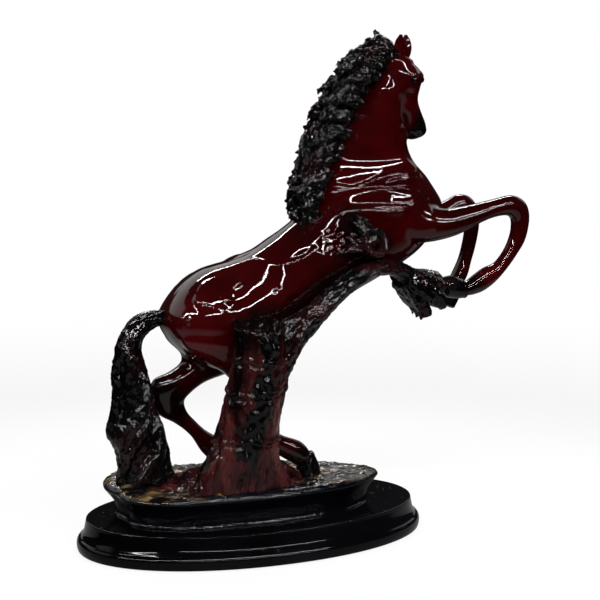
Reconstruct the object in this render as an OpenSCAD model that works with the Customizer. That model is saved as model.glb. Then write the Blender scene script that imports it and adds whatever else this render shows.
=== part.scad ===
// Horse figurine: a rearing horse beside a broken tree, on an oval plinth.
// Millimetres, +Z up. The origin is the centre of the underside, and the horse faces +X.

/* [Horse] */
// Length of the horse from the buttock to the raised knee
horse_l = 200; // [170:1:230]
// Height of the horse's eye above the ground
horse_h = 200; // [170:1:230]
// Width of the horse across the haunches
horse_w = 50; // [44:1:58]
// Diameter of an eye
eye_d = 3.8; // [3:0.1:4.6]
// Length of an ear
ear_l = 12; // [9:0.5:15]
// Thickness of a lock of the mane at its root
lock_d = 7.5; // [6:0.25:9]

/* [Tree] */
// Diameter of the trunk at its sawn top
trunk_d = 25; // [22:0.5:29]
// Slope of the sawn top towards its near side, in degrees
saw_slope = 14; // [6:1:20]
// Outer diameter of the hollow knot
knot_d = 15; // [12:0.5:18]
// Bore of the hollow knot
knot_bore = 8; // [6:0.5:9]
// Depth of the hollow in the knot
knot_depth = 7; // [4:0.5:8]

/* [Ground and plinth] */
// Height of the ground above the plinth
mound_h = 15; // [12:0.5:18]
// Height of the plinth
plinth_h = 15; // [12:0.5:20]
// Height of the rounded band round the plinth's foot
band_h = 6; // [4:0.5:8]
// How far the band stands out past the plinth's top edge
band_out = 4.6; // [3:0.2:6]
// Ledge between the ground and the plinth's edge, at the two ends
ledge_end_w = 20; // [16:0.5:26]
// Ledge between the ground and the plinth's edge, at the two sides
ledge_side_w = 13.5; // [11:0.5:20]
// Thickness of the felt under the plinth
felt_t = 1; // [0.6:0.1:2]
// Distance from the plinth's edge in to the felt
felt_inset = 5; // [3:0.5:8]

/* [Fixings] */
// Diameter of the dowel in the trunk's foot
dowel_d = 6; // [4:0.5:8]
// Length of the dowel
dowel_l = 20; // [16:1:22]
// Diameter of the steel pins in the hind hooves
pin_d = 2; // [1.5:0.1:2.5]
// Length of the steel pins
pin_l = 12; // [9:0.5:13]
// Shank diameter of the two plinth screws
screw_d = 4; // [3:0.1:5]
// Head diameter of the plinth screws
screw_head_d = 8; // [7:0.1:10]
// Length of the plinth screws under the head
screw_l = 18; // [16:0.5:20]
// Gap round each pin, dowel and screw
glue_gap = 0.1; // [0.05:0.05:0.2]

/* [Smoothness] */
// Sides of the large lofts
body_sides = 24; // [20:4:40]
// Sides of the legs and the branch
limb_sides = 12; // [12:2:24]

/* [Hidden] */
$fn = 48;

// Colours of the finishes
burgundy = [0.30, 0.02, 0.05];
gloss_black = [0.04, 0.035, 0.04];
bark_red = [0.22, 0.03, 0.05];
moss = [0.33, 0.27, 0.10];
felt_black = [0.08, 0.08, 0.09];
steel = [0.62, 0.63, 0.65];
beech = [0.72, 0.58, 0.40];

// Heights that pieces stand on
plinth_top = felt_t + plinth_h;
ground_z = plinth_top + mound_h;
overrun = horse_l;              // length of a cut that runs well past its piece

// Every table below gives places as shares of the horse's own sizes:
// along its length, across its width, and above the ground.
// A row is [upper x, upper z, lower x, lower z, middle y, half width, turn in degrees].
// The horse and its ground stand a little off the plinth's centre
figure_shares = [0.016, 0.094];
torso_shares = [
    [-0.245, 0.400, -0.238, 0.382, 0.00, 0.08, 0],
    [-0.236, 0.430, -0.216, 0.348, 0.00, 0.27, 0],
    [-0.196, 0.482, -0.168, 0.305, 0.00, 0.42, 0],
    [-0.135, 0.525, -0.100, 0.275, 0.00, 0.49, 0],
    [-0.060, 0.545, -0.005, 0.280, 0.00, 0.47, 0],
    [0.000, 0.567, 0.090, 0.325, 0.00, 0.43, 0],
    [0.050, 0.597, 0.172, 0.390, 0.00, 0.43, 0],
    [0.100, 0.630, 0.252, 0.442, 0.00, 0.44, 0],
    [0.140, 0.665, 0.330, 0.480, 0.00, 0.43, 0],
    [0.185, 0.705, 0.400, 0.514, 0.00, 0.41, 0],
    [0.250, 0.745, 0.463, 0.556, 0.00, 0.38, 0],
    [0.330, 0.760, 0.505, 0.610, 0.00, 0.33, 0],
    [0.415, 0.755, 0.524, 0.662, 0.00, 0.22, 0],
    [0.465, 0.735, 0.505, 0.700, 0.00, 0.08, 0]];
neck_shares = [
    [0.140, 0.630, 0.450, 0.600, 0.00, 0.27, 0],
    [0.150, 0.685, 0.512, 0.672, 0.00, 0.31, 0],
    [0.185, 0.745, 0.483, 0.732, 0.00, 0.30, 0],
    [0.215, 0.805, 0.438, 0.782, 0.00, 0.26, 0],
    [0.240, 0.870, 0.412, 0.838, -0.02, 0.23, -8],
    [ 0.272, 0.935,  0.393, 0.888, -0.06, 0.21, -20],
    [ 0.305, 0.990,  0.392, 0.925, -0.10, 0.19, -32],
    [ 0.340, 1.040,  0.395, 0.960, -0.15, 0.16, -42],
    [ 0.362, 1.058,  0.400, 0.995, -0.17, 0.11, -45]];
head_shares = [
    [0.382, 1.060, 0.358, 1.060, -0.16, 0.07, -45],
    [0.402, 1.045, 0.336, 1.040, -0.17, 0.14, -45],
    [0.420, 1.024, 0.324, 1.008, -0.17, 0.165, -45],
    [0.440, 1.000, 0.318, 0.976, -0.18, 0.18, -45],
    [0.434, 0.968, 0.330, 0.942, -0.18, 0.17, -45],
    [0.429, 0.938, 0.356, 0.915, -0.18, 0.135, -45],
    [0.438, 0.908, 0.380, 0.890, -0.19, 0.112, -45],
    [0.451, 0.880, 0.390, 0.864, -0.19, 0.108, -45],
    [0.453, 0.858, 0.398, 0.848, -0.19, 0.104, -45],
    [0.438, 0.842, 0.412, 0.840, -0.19, 0.060, -45]];
right_foreleg_shares = [
    [0.410, 0.700, 0.365, 0.575, -0.20, 0.19, 0],
    [0.490, 0.662, 0.440, 0.573, -0.25, 0.18, 0],
    [0.565, 0.666, 0.530, 0.588, -0.27, 0.145, 0],
    [0.650, 0.681, 0.620, 0.625, -0.28, 0.112, 0],
    [0.702, 0.689, 0.677, 0.636, -0.28, 0.108, 0],
    [0.739, 0.670, 0.701, 0.627, -0.28, 0.112, 0],
    [0.752, 0.630, 0.703, 0.600, -0.28, 0.104, 0],
    [0.742, 0.572, 0.694, 0.572, -0.28, 0.088, 0],
    [0.716, 0.531, 0.678, 0.542, -0.28, 0.080, 0],
    [0.685, 0.493, 0.652, 0.514, -0.28, 0.080, 0],
    [0.652, 0.462, 0.620, 0.502, -0.28, 0.096, 0],
    [0.617, 0.440, 0.592, 0.486, -0.28, 0.096, 0],
    [0.582, 0.431, 0.568, 0.470, -0.28, 0.084, 0],
    [0.552, 0.430, 0.546, 0.466, -0.28, 0.082, 0]];
left_foreleg_shares = [
    [0.460, 0.692, 0.420, 0.580, 0.20, 0.18, 0],
    [0.520, 0.665, 0.490, 0.585, 0.23, 0.15, 0],
    [0.568, 0.667, 0.560, 0.600, 0.24, 0.12, 0],
    [0.608, 0.684, 0.605, 0.622, 0.24, 0.108, 0],
    [0.646, 0.680, 0.620, 0.622, 0.24, 0.108, 0],
    [0.673, 0.645, 0.630, 0.612, 0.24, 0.104, 0],
    [0.677, 0.600, 0.636, 0.588, 0.24, 0.090, 0],
    [0.669, 0.550, 0.629, 0.550, 0.24, 0.078, 0],
    [0.656, 0.505, 0.618, 0.512, 0.24, 0.076, 0],
    [0.644, 0.467, 0.603, 0.480, 0.24, 0.090, 0],
    [0.626, 0.437, 0.588, 0.455, 0.24, 0.082, 0]];
right_hind_leg_shares = [
    [-0.200, 0.440, -0.040, 0.490, -0.20, 0.16, 0],
    [-0.218, 0.362, 0.030, 0.400, -0.25, 0.24, 0],
    [-0.165, 0.312, 0.058, 0.345, -0.27, 0.24, 0],
    [-0.108, 0.276, 0.058, 0.300, -0.28, 0.20, 0],
    [-0.082, 0.240, 0.036, 0.262, -0.29, 0.15, 0],
    [-0.088, 0.207, -0.002, 0.215, -0.29, 0.12, 0],
    [-0.100, 0.182, -0.030, 0.172, -0.29, 0.105, 0],
    [-0.097, 0.147, -0.032, 0.152, -0.30, 0.105, 0],
    [-0.060, 0.118, -0.028, 0.165, -0.30, 0.092, 0],
    [0.012, 0.072, 0.034, 0.116, -0.31, 0.076, 0],
    [0.062, 0.040, 0.092, 0.091, -0.32, 0.092, 0],
    [0.085, 0.025, 0.118, 0.060, -0.33, 0.084, 0]];
left_hind_leg_shares = [
    [-0.200, 0.440, -0.040, 0.490, 0.20, 0.16, 0],
    [-0.215, 0.360, 0.020, 0.385, 0.25, 0.24, 0],
    [-0.172, 0.310, 0.045, 0.325, 0.27, 0.24, 0],
    [-0.170, 0.285, -0.020, 0.262, 0.27, 0.19, 0],
    [-0.203, 0.264, -0.110, 0.232, 0.26, 0.14, 0],
    [-0.246, 0.248, -0.160, 0.197, 0.25, 0.115, 0],
    [-0.256, 0.210, -0.165, 0.180, 0.25, 0.105, 0],
    [-0.238, 0.162, -0.156, 0.158, 0.25, 0.095, 0],
    [-0.190, 0.132, -0.142, 0.142, 0.25, 0.074, 0],
    [-0.150, 0.098, -0.110, 0.110, 0.25, 0.072, 0],
    [-0.122, 0.055, -0.075, 0.086, 0.25, 0.092, 0],
    [-0.098, 0.030, -0.048, 0.052, 0.25, 0.084, 0]];
// A hoof's rows run from the hairline to the sole
right_fore_hoof_shares = [
    [0.564, 0.426, 0.556, 0.474, -0.28, 0.094, 0],
    [0.536, 0.425, 0.526, 0.486, -0.28, 0.108, 0],
    [0.506, 0.430, 0.494, 0.482, -0.28, 0.116, 0]];
left_fore_hoof_shares = [
    [ 0.630, 0.433,  0.584, 0.457,  0.24, 0.092, 0],
    [ 0.618, 0.405,  0.563, 0.430,  0.24, 0.104, 0],
    [ 0.602, 0.378,  0.546, 0.402,  0.24, 0.112, 0]];
branch_shares = [
    [-0.035, 0.400, -0.005, 0.225, -0.63, 0.140, 0],
    [0.005, 0.414, 0.028, 0.280, -0.62, 0.145, 0],
    [0.045, 0.424, 0.057, 0.334, -0.60, 0.145, 0],
    [0.100, 0.454, 0.098, 0.376, -0.57, 0.130, 0],
    [0.155, 0.493, 0.146, 0.421, -0.55, 0.118, 0],
    [0.210, 0.524, 0.203, 0.466, -0.53, 0.110, 0],
    [0.265, 0.541, 0.266, 0.500, -0.50, 0.100, 0],
    [0.315, 0.543, 0.318, 0.501, -0.46, 0.098, 0],
    [0.360, 0.532, 0.351, 0.487, -0.41, 0.110, 0],
    [0.402, 0.515, 0.377, 0.458, -0.34, 0.135, 0]];
tail_shares = [
    [-0.205, 0.424, -0.215, 0.388, 0.00, 0.090, 0],
    [-0.250, 0.431, -0.252, 0.393, 0.02, 0.100, 0],
    [-0.298, 0.420, -0.278, 0.380, 0.03, 0.115, 0],
    [-0.335, 0.387, -0.291, 0.357, 0.04, 0.135, 0],
    [-0.357, 0.340, -0.294, 0.320, 0.05, 0.155, 0],
    [-0.361, 0.288, -0.286, 0.275, 0.06, 0.165, 0],
    [-0.363, 0.230, -0.269, 0.225, 0.06, 0.175, 0],
    [-0.368, 0.175, -0.259, 0.175, 0.06, 0.190, 0],
    [-0.378, 0.132, -0.241, 0.130, 0.06, 0.205, 0],
    [-0.358, 0.090, -0.229, 0.090, 0.06, 0.200, 0],
    [-0.352, 0.045, -0.231, 0.045, 0.06, 0.200, 0],
    [-0.352, 0.000, -0.215, 0.000, 0.06, 0.220, 0]];
// A row of the trunk is [left x, right x, z, middle y, half depth]
trunk_shares = [
    [-0.225, 0.055, 0.000, -0.49, 0.255],
    [-0.208, 0.032, 0.025, -0.52, 0.245],
    [-0.188, 0.008, 0.065, -0.55, 0.245],
    [-0.167, 0.000, 0.110, -0.57, 0.250],
    [-0.154, 0.000, 0.155, -0.59, 0.252],
    [-0.142, 0.004, 0.200, -0.61, 0.255],
    [-0.131, 0.014, 0.250, -0.63, 0.258],
    [-0.124, 0.016, 0.300, -0.65, 0.262]];
trunk_top_shares = [-0.054, 0.408, -0.67];     // middle of the sawn top
trunk_saw_reach_shares = [0.345, 0.46];        // heights where the bole turns straight and where it is cut
// Curves along the mane: the crest that it grows from, and how far its points reach back
crest_shares = [
    [0.125, 0.640],
    [0.145, 0.705],
    [0.172, 0.770],
    [0.198, 0.830],
    [0.228, 0.895],
    [0.262, 0.960],
    [0.302, 1.020],
    [0.350, 1.060]];
mane_edge_shares = [
    [0.108, 0.648],
    [0.092, 0.712],
    [0.100, 0.775],
    [0.116, 0.845],
    [0.139, 0.914],
    [0.165, 0.982],
    [0.205, 1.044],
    [0.280, 1.088]];
mane_lock_count = 12;
lock_flat = 0.8;                // thickness of a lock over its width
mane_side_share = 0.13;         // how far the outer rows of locks lie from the middle, of the width
// A row of the broken tip is [end x, end z, end y, start y] for one finger of wood
tip_finger_shares = [
    [0.436, 0.390, -0.40, -0.40],
    [0.448, 0.394, -0.20, -0.34],
    [0.484, 0.416, -0.42, -0.40],
    [0.494, 0.420, -0.22, -0.34],
    [0.498, 0.458, -0.32, -0.38],
    [0.520, 0.446, -0.08, -0.30],
    [0.458, 0.400,  0.00, -0.28],
    [0.515, 0.432,  0.06, -0.26],
    [0.540, 0.466,  0.14, -0.24]];
tip_start_shares = [0.375, 0.485];
tip_root_share = 0.105;         // half thickness of a finger at its root, of the horse's width
tip_end_share = 0.072;
knot_place_shares = [0.268, 0.590, -0.60];
knot_lean = [72, 0, 12];        // turn of the knot's axis, in degrees
// A row of the knot's profile is [radius, height along its axis]
knot_profile_shares = [[0, -2], [0.45, -2], [0.42, -0.5], [0.5, -0.12], [0.47, 0], [0, 0]];
// A strand behind the knot is [end x, end z, end y, half thickness]; the first stands on the branch
knot_strand_shares = [
    [0.232, 0.515, -0.52, 0.110],
    [0.212, 0.645, -0.43, 0.060],
    [0.200, 0.605, -0.44, 0.060],
    [0.168, 0.562, -0.45, 0.060],
    [0.250, 0.655, -0.42, 0.060]];
mound_half_shares = [0.352, 0.80];  // half length and half width of the ground's lip
mound_middle_share = -0.032;        // its middle along the horse's length
// A row of the ground's side is [growth of its plan, height]
mound_ring_shares = [[0.93, 0.00], [0.915, 0.12], [0.93, 0.42], [0.98, 0.74], [1.0, 0.88], [0.985, 1.0]];
eye_place_shares = [0.80, 0.58, 0.0];       // forward, out and up from the middle of the head's row
nostril_place_shares = [0.66, 0.88, 0.012];
nostril_share = 0.7;                        // of the eye's diameter
ear_place_shares = [0.54, 0.50];            // forward and out from the middle of the crown
ear_tip_shares = [0.05, 0.07, 1.05];        // forward, out and up from the ear's root
ear_half_shares = [0.29, 0.15];             // half width and half depth, of the ear's length
ear_bulge_shares = [0.62, 0.88, 1.0, 0.93, 0.68, 0.24];
ear_cup_share = 0.75;
ear_sink_share = 0.1;
pin_place_shares = [[0.112, -0.33], [-0.062, 0.25]];
screw_place_share = 0.60;                   // along the ground's half length
// A hind hoof: shrink of its hairline, its toe's reach, and the spread of its hairline and sole
hoof_hair_share = 0.004;
hoof_toe_share = 0.028;
hoof_spread_shares = [1.12, 1.35];

// Cubic blend of four values that passes through the middle two
function cubic(a, b, c, d, t) =
    0.5*(2*b + (c - a)*t + (2*a - 5*b + 4*c - d)*t*t + (3*b - a - 3*c + d)*t*t*t);
// A table with further rows blended in between its own
function refine(rows, steps) =
    let (last = len(rows) - 1)
    [for (i = [0:last - 1]) for (s = [0:steps - 1])
        cubic(rows[max(i - 1, 0)], rows[i], rows[i + 1], rows[min(i + 2, last)], s/steps),
     rows[last]];
// A point given in shares, in millimetres
function place(x, y, z) =
    [(figure_shares[0] + x)*horse_l, (figure_shares[1] + y)*horse_w, ground_z + z*horse_h];
// One closed ring from a row: an oval between the upper and the lower point.
// A positive taper draws the upper half in, as on a crest
function oval_ring(row, sides, taper = 0, lobe = 0, lobes = 1, twist = 0) =
    let (upper = place(row[0], row[4], row[1]), lower = place(row[2], row[4], row[3]),
         middle = (upper + lower)/2, reach = (upper - lower)/2, half = row[5]*horse_w,
         rise = [reach.x*cos(row[6]), reach.x*sin(row[6]), reach.z],
         side = [-sin(row[6]), cos(row[6]), 0]*half)
    [for (k = [0:sides - 1]) let (a = 360*k/sides, swell = 1 + lobe*cos(lobes*a + twist))
        middle + rise*cos(a)*swell + side*sin(a)*(1 - taper*cos(a))*swell];
function loft(rows, steps, sides, taper = 0) =
    [for (row = refine(rows, steps)) oval_ring(row, sides, taper)];
// Six times the volume inside a mesh, which is negative when its faces turn inwards
function volume_sign(points, faces) =
    let (parts = [for (f = faces) cross(points[f[0]], points[f[1]])*points[f[2]]])
    parts*[for (p = parts) 1];
// A closed skin over a row of rings, with its faces turned outwards
module skin(rings) {
    sides = len(rings[0]);
    last = len(rings) - 1;
    points = concat([for (ring = rings) each ring], [middle_of(rings[0]), middle_of(rings[last])]);
    walls = [for (i = [0:last - 1]) for (k = [0:sides - 1])
        let (a = i*sides + k, b = i*sides + (k + 1)%sides)
        each [[a, b, a + sides], [b, b + sides, a + sides]]];
    low_end = len(points) - 2;
    high_end = low_end + 1;
    caps = [for (k = [0:sides - 1]) let (next = (k + 1)%sides)
        each [[low_end, next, k], [high_end, last*sides + k, last*sides + next]]];
    faces = concat(walls, caps);
    inward = volume_sign(points, faces) > 0;
    polyhedron(points, inward ? [for (f = faces) [f[2], f[1], f[0]]] : faces);
}
// Muscles stand out, and hollows sink, beside lines on both flanks of the torso and the neck.
// A row is [start x, start z, end x, end z, reach to either side, rise]
muscle_shares = [
    [-0.190, 0.490, -0.026, 0.552, 0.028,  0.028],
    [-0.026, 0.552,  0.079, 0.632, 0.028,  0.028],
    [-0.026, 0.548,  0.138, 0.574, 0.024,  0.028],
    [ 0.069, 0.561,  0.209, 0.652, 0.026,  0.034],
    [ 0.209, 0.652,  0.399, 0.676, 0.024,  0.034],
    [ 0.195, 0.690,  0.418, 0.708, 0.022,  0.030],
    [ 0.214, 0.732,  0.410, 0.752, 0.022,  0.026],
    [-0.078, 0.520, -0.050, 0.440, 0.034, -0.045],
    [-0.236, 0.420, -0.200, 0.475, 0.024,  0.022],
    [-0.170, 0.430, -0.110, 0.380, 0.070,  0.030],
    [ 0.080, 0.470,  0.230, 0.540, 0.060,  0.020]];
function line_gap(at, m) =
    let (a = [m[0], m[1]], reach = [m[2], m[3]] - a, f = (at - a)*reach/(reach*reach))
    norm(at - a - reach*min(max(f, 0), 1));
function flank_rise(p) =
    let (at = [p.x/horse_l - figure_shares[0], (p.z - ground_z)/horse_h])
    horse_w*([for (m = muscle_shares) m[5]*exp(-pow(line_gap(at, m)/m[4], 2))]
             *[for (m = muscle_shares) 1]);
function muscled(rings) =
    [for (ring = rings) [for (k = [0:len(ring) - 1])
        ring[k] + [0, flank_rise(ring[k])*sin(360*k/len(ring)), 0]]];
function unit(v) = v/norm(v);
function middle_of(ring) = [for (p = ring) 1]*ring/len(ring);
// Rings of a tube along points, with a radius for each point
function tube_rings(points, radii, sides, flat = 1) =
    let (last = len(points) - 1)
    [for (i = [0:last])
        let (along = unit(points[min(i + 1, last)] - points[max(i - 1, 0)]),
             across = unit(cross(along, [0.13, 1, 0.08])), up = cross(across, along))
        [for (k = [0:sides - 1]) let (a = 360*k/sides)
            points[i] + radii[i]*(across*cos(a) + up*sin(a)*flat)]];
// Points of a curl from a root to a tip, drawn towards a bend point
function curl(root, bend, tip, steps) =
    [for (i = [0:steps]) let (t = i/steps)
        root*(1 - t)*(1 - t) + bend*2*t*(1 - t) + tip*t*t];
module strand(root, bend, tip, root_r, tip_r, sides, steps, flat = 1) {
    radii = [for (i = [0:steps]) tip_r + (root_r - tip_r)*pow(1 - i/steps, 0.7)];
    skin(tube_rings(curl(root, bend, tip, steps), radii, sides, flat));
}

// Plan of the ground: a squared oval with a slightly uneven edge
mound_sides = 48;
mound_power = 2.8;
function squared_oval(a) =
    pow(pow(abs(cos(a)), mound_power) + pow(abs(sin(a)), mound_power), -1/mound_power);
// The edge swells and sinks in waves: [depth, waves round the edge, shift in degrees]
edge_wave_shares = [[0.016, 3, 40], [0.012, 5, 100], [0.008, 11, 0]];
function mound_edge(a) =
    squared_oval(a) + [for (w = edge_wave_shares) w[0]*sin(w[1]*a + w[2])]*[1, 1, 1];
// The lip hangs lower towards the far corner, and the flat top draws in from it there
far_corner = 55;                            // direction of that corner, in degrees
lip_drop_shares = [0.04, 0.50];             // all round, and more at the corner
flat_reach_shares = [0.955, 0.48];          // all round, and less at the corner
function cornered(a) = max(cos(a - far_corner), 0);
function lip_drop(a) = lip_drop_shares*[1, pow(cornered(a), 2)];
function flat_reach(a) = flat_reach_shares*[1, -cornered(a)];
function mound_point(a, grow, z) = let (reach = mound_half_shares*grow,
        at = place(mound_middle_share + reach[0]*cos(a), reach[1]*sin(a), 0))
    [at.x, at.y, z];
function mound_ring(grow, height) =
    [for (k = [0:mound_sides - 1]) let (a = 360*k/mound_sides)
        mound_point(a, grow*mound_edge(a), plinth_top + mound_h*height*(1 - lip_drop(a)))];
mound_top_ring = [for (k = [0:mound_sides - 1]) let (a = 360*k/mound_sides)
    mound_point(a, flat_reach(a)*mound_edge(a), ground_z)];
// Plan of the plinth: a superellipse a little squarer than an oval
plinth_power = 2.08;
plinth_sides = 48;
foot_share = mound_ring_shares[0][0];
plinth_half_l = mound_half_shares[0]*horse_l*foot_share + ledge_end_w;
plinth_half_w = mound_half_shares[1]*horse_w*foot_share + ledge_side_w;
function spread(v) = sign(v)*pow(abs(v), 2/plinth_power);
function plinth_ring(out, z) =
    [for (k = [0:plinth_sides - 1]) let (a = 360*k/plinth_sides)
        [(plinth_half_l + out)*spread(cos(a)), (plinth_half_w + out)*spread(sin(a)), z]];
// Profile of the plinth's edge: how far out of the top edge, as a share of the band,
// and how high, as a share of the band or of the wall above it
band_profile_shares = [[0.88, 0.00], [1.00, 0.35], [0.97, 0.75], [0.72, 1.00]];
wall_profile_shares = [[0.54, 0.06], [0.24, 0.36], [0.05, 0.80], [0.00, 0.94], [-0.10, 1.00]];
wall_h = plinth_h - band_h;
plinth_rings = concat(
    [for (p = band_profile_shares) plinth_ring(band_out*p[0], felt_t + band_h*p[1])],
    [for (p = wall_profile_shares) plinth_ring(band_out*p[0], felt_t + band_h + wall_h*p[1])]);

screw_x = mound_half_shares[0]*horse_l*screw_place_share;
screw_head_h = screw_head_d/2 - screw_d/2;
screw_seat_z = felt_t + plinth_h - screw_l/2;
function pin_place(i) = place(pin_place_shares[i][0], pin_place_shares[i][1], 0);
dowel_place = place(trunk_top_shares[0], trunk_shares[0][3], 0);

module at_both_screws() {
    for (side = [-1, 1]) translate([side*screw_x, 0, 0]) children();
}
module screw_shape(gap) {
    translate([0, 0, screw_seat_z - screw_head_h]) {
        cylinder(d1 = screw_head_d + 2*gap, d2 = screw_d + 2*gap, h = screw_head_h);
        cylinder(d = screw_d + 2*gap, h = screw_head_h + screw_l + gap);
    }
}
module felt_pad() {
    color(felt_black) linear_extrude(felt_t)
        polygon([for (p = plinth_ring(-felt_inset, 0)) [p.x, p.y]]);
}
module plinth() {
    color(gloss_black) difference() {
        skin(plinth_rings);
        at_both_screws() {
            screw_shape(glue_gap);
            translate([0, 0, felt_t - band_h]) cylinder(d = screw_head_d + 2*glue_gap,
                h = screw_seat_z - screw_head_h - felt_t + band_h);
        }
    }
}
module base_screws() {
    color(steel) at_both_screws() screw_shape(0);
}
module mound_shape() {
    skin(concat([for (r = mound_ring_shares) mound_ring(r[0], r[1])], [mound_top_ring]));
}
module ground_mound() {
    color(gloss_black) difference() {
        mound_shape();
        at_both_screws() screw_shape(glue_gap);
        translate(dowel_place - [0, 0, dowel_l/2 + glue_gap])
            cylinder(d = dowel_d + 2*glue_gap, h = dowel_l);
        for (i = [0, 1]) translate(pin_place(i) - [0, 0, pin_l/2 + glue_gap])
            cylinder(d = pin_d + 2*glue_gap, h = pin_l);
    }
}
// Leaves lie in rosettes on the ground, each at [x, y]
grass_clump_shares = [
    [-0.315, -0.26], [-0.238, -0.66], [-0.150, -0.70], [-0.320, 0.50],
    [0.205, -0.36], [0.120, -0.62], [0.190, -0.08], [-0.160, 0.50]];
blade_count = 4;
blade_r_share = 0.028;
blade_reach_share = 0.085;
blade_rise_share = 0.040;
clump_turn = 47;                // degrees that each rosette is turned from the one before
blade_wave = [1.3, 97, 31];     // mean rise of a leaf, and how it changes by leaf and by rosette
module grass_clump(i) {
    at = place(grass_clump_shares[i][0], grass_clump_shares[i][1], 0);
    blade_r = blade_r_share*horse_w;
    for (b = [0:blade_count - 1]) {
        a = 360*b/blade_count + clump_turn*i;
        outward = [cos(a), sin(a), 0]*blade_reach_share*horse_w;
        lift = blade_wave[0] + sin(blade_wave[1]*b + blade_wave[2]*i);
        rise = [0, 0, blade_rise_share*horse_w*lift];
        strand(at + outward/4 - rise, at + outward/2 + rise, at + outward + rise, blade_r, blade_r/4, 4, 2);
    }
}
module grass_tufts() {
    color(moss) difference() {
        for (i = [0:len(grass_clump_shares) - 1]) grass_clump(i);
        mound_shape();
    }
}

bark_lobes = 9;
bark_lobe_share = 0.045;        // swell of a ridge of bark
bark_turn = 400;                // degrees that the ridges turn over the horse's height
bole_lobes = 4;
bole_lobe_share = 0.027;        // swell of the bole itself, under the bark
bole_turn = 150;
trunk_sides = 32;
function trunk_ring(row) =
    let (half_x = (row[1] - row[0])/2)
    [for (k = [0:trunk_sides - 1]) let (a = 360*k/trunk_sides,
            swell = 1 + bark_lobe_share*cos(bark_lobes*a + bark_turn*row[2])
                + bole_lobe_share*cos(bole_lobes*a + bole_turn))
        place(row[0] + half_x + half_x*cos(a)*swell, row[3] + row[4]*sin(a)*swell, row[2])];
function trunk_row(z_share) =
    [trunk_top_shares[0] - trunk_d/2/horse_l, trunk_top_shares[0] + trunk_d/2/horse_l, z_share,
     trunk_top_shares[2], trunk_d/2/horse_w];
trunk_rings = [for (row = refine(concat(trunk_shares, [trunk_row(trunk_saw_reach_shares[0]),
    trunk_row(trunk_saw_reach_shares[1])]), 2)) trunk_ring(row)];
// Roots that run out over the ground, each from the trunk's foot to a point: [x, y, start height]
root_end_shares = [[-0.238, -0.05, 0.045], [-0.250, -0.40, 0.03], [0.085, -0.36, 0.03]];
root_thick_share = 0.12;
root_start_share = 0.4;
module trunk_shape() {
    difference() {
        union() {
            skin(trunk_rings);
            for (end = root_end_shares) {
                tip = place(end[0], end[1], 0);
                start = dowel_place + (tip - dowel_place)*root_start_share;
                root = [start.x, dowel_place.y, ground_z + end[2]*horse_h];
                strand(root, (root + tip)/2 + [0, 0, end[2]*horse_h/3], tip,
                       root_thick_share*horse_w, root_thick_share*horse_w/3, 8, 5);
            }
        }
        translate([-overrun/2, -overrun/2, ground_z - overrun]) cube(overrun);
        translate(place(trunk_top_shares[0], trunk_top_shares[2], trunk_top_shares[1]))
            rotate([saw_slope, 0, 0]) translate([-overrun/2, -overrun/2, 0]) cube(overrun);
    }
}
module tree_trunk() {
    color(bark_red) difference() {
        trunk_shape();
        torso_shape();
        leg_shape(right_hind_leg_shares);
        hind_hoof_shape(right_hind_leg_shares);
        tail_shape();
        translate(dowel_place - [0, 0, dowel_l/2])
            cylinder(d = dowel_d + 2*glue_gap, h = dowel_l + glue_gap);
    }
}
module trunk_dowel() {
    color(beech) translate(dowel_place - [0, 0, dowel_l/2]) cylinder(d = dowel_d, h = dowel_l);
}
module branch_shape() {
    skin(loft(branch_shares, 3, limb_sides));
}
module tree_branch() {
    color(gloss_black) difference() {
        branch_shape();
        trunk_shape();
        torso_shape();
        leg_shape(right_foreleg_shares);
    }
}
module knot_shape() {
    at = place(knot_place_shares[0], knot_place_shares[2], knot_place_shares[1]);
    difference() {
        union() {
            translate(at) rotate(knot_lean) rotate_extrude()
                polygon(knot_profile_shares*knot_d);
            for (tip = knot_strand_shares) {
                end = place(tip[0], tip[2], tip[1]);
                thick = tip[3]*horse_w;
                strand(at, (at + end)/2 - [0, thick/2, 0], end, thick, thick/3, 6, 4);
            }
        }
        translate(at) rotate(knot_lean) translate([0, 0, -knot_depth])
            cylinder(d = knot_bore, h = knot_depth*2);
    }
}
module branch_knot() {
    color(gloss_black) difference() {
        knot_shape();
        torso_shape();
        branch_shape();
    }
}
module tip_shape() {
    for (f = tip_finger_shares) {
        root = place(tip_start_shares[0], f[3], tip_start_shares[1]);
        end = place(f[0], f[2], f[1]);
        strand(root, (root + end)/2, end,
               tip_root_share*horse_w, tip_end_share*horse_w, 8, 5);
    }
}
module branch_tip() {
    color(gloss_black) difference() {
        tip_shape();
        branch_shape();
        torso_shape();
        leg_shape(right_foreleg_shares);
        leg_shape(left_foreleg_shares);
        fore_hoof_shape(right_fore_hoof_shares);
        fore_hoof_shape(left_fore_hoof_shares);
    }
}

module torso_shape() {
    skin(muscled(loft(torso_shares, 3, body_sides)));
}
module horse_torso() {
    color(burgundy) torso_shape();
}
crest_taper = 0.30;
module neck_shape() {
    skin(muscled(loft(neck_shares, 2, body_sides, crest_taper)));
}
module horse_neck() {
    color(burgundy) difference() {
        neck_shape();
        torso_shape();
    }
}
module head_shape() {
    skin(loft(head_shares, 2, body_sides));
}
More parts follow.
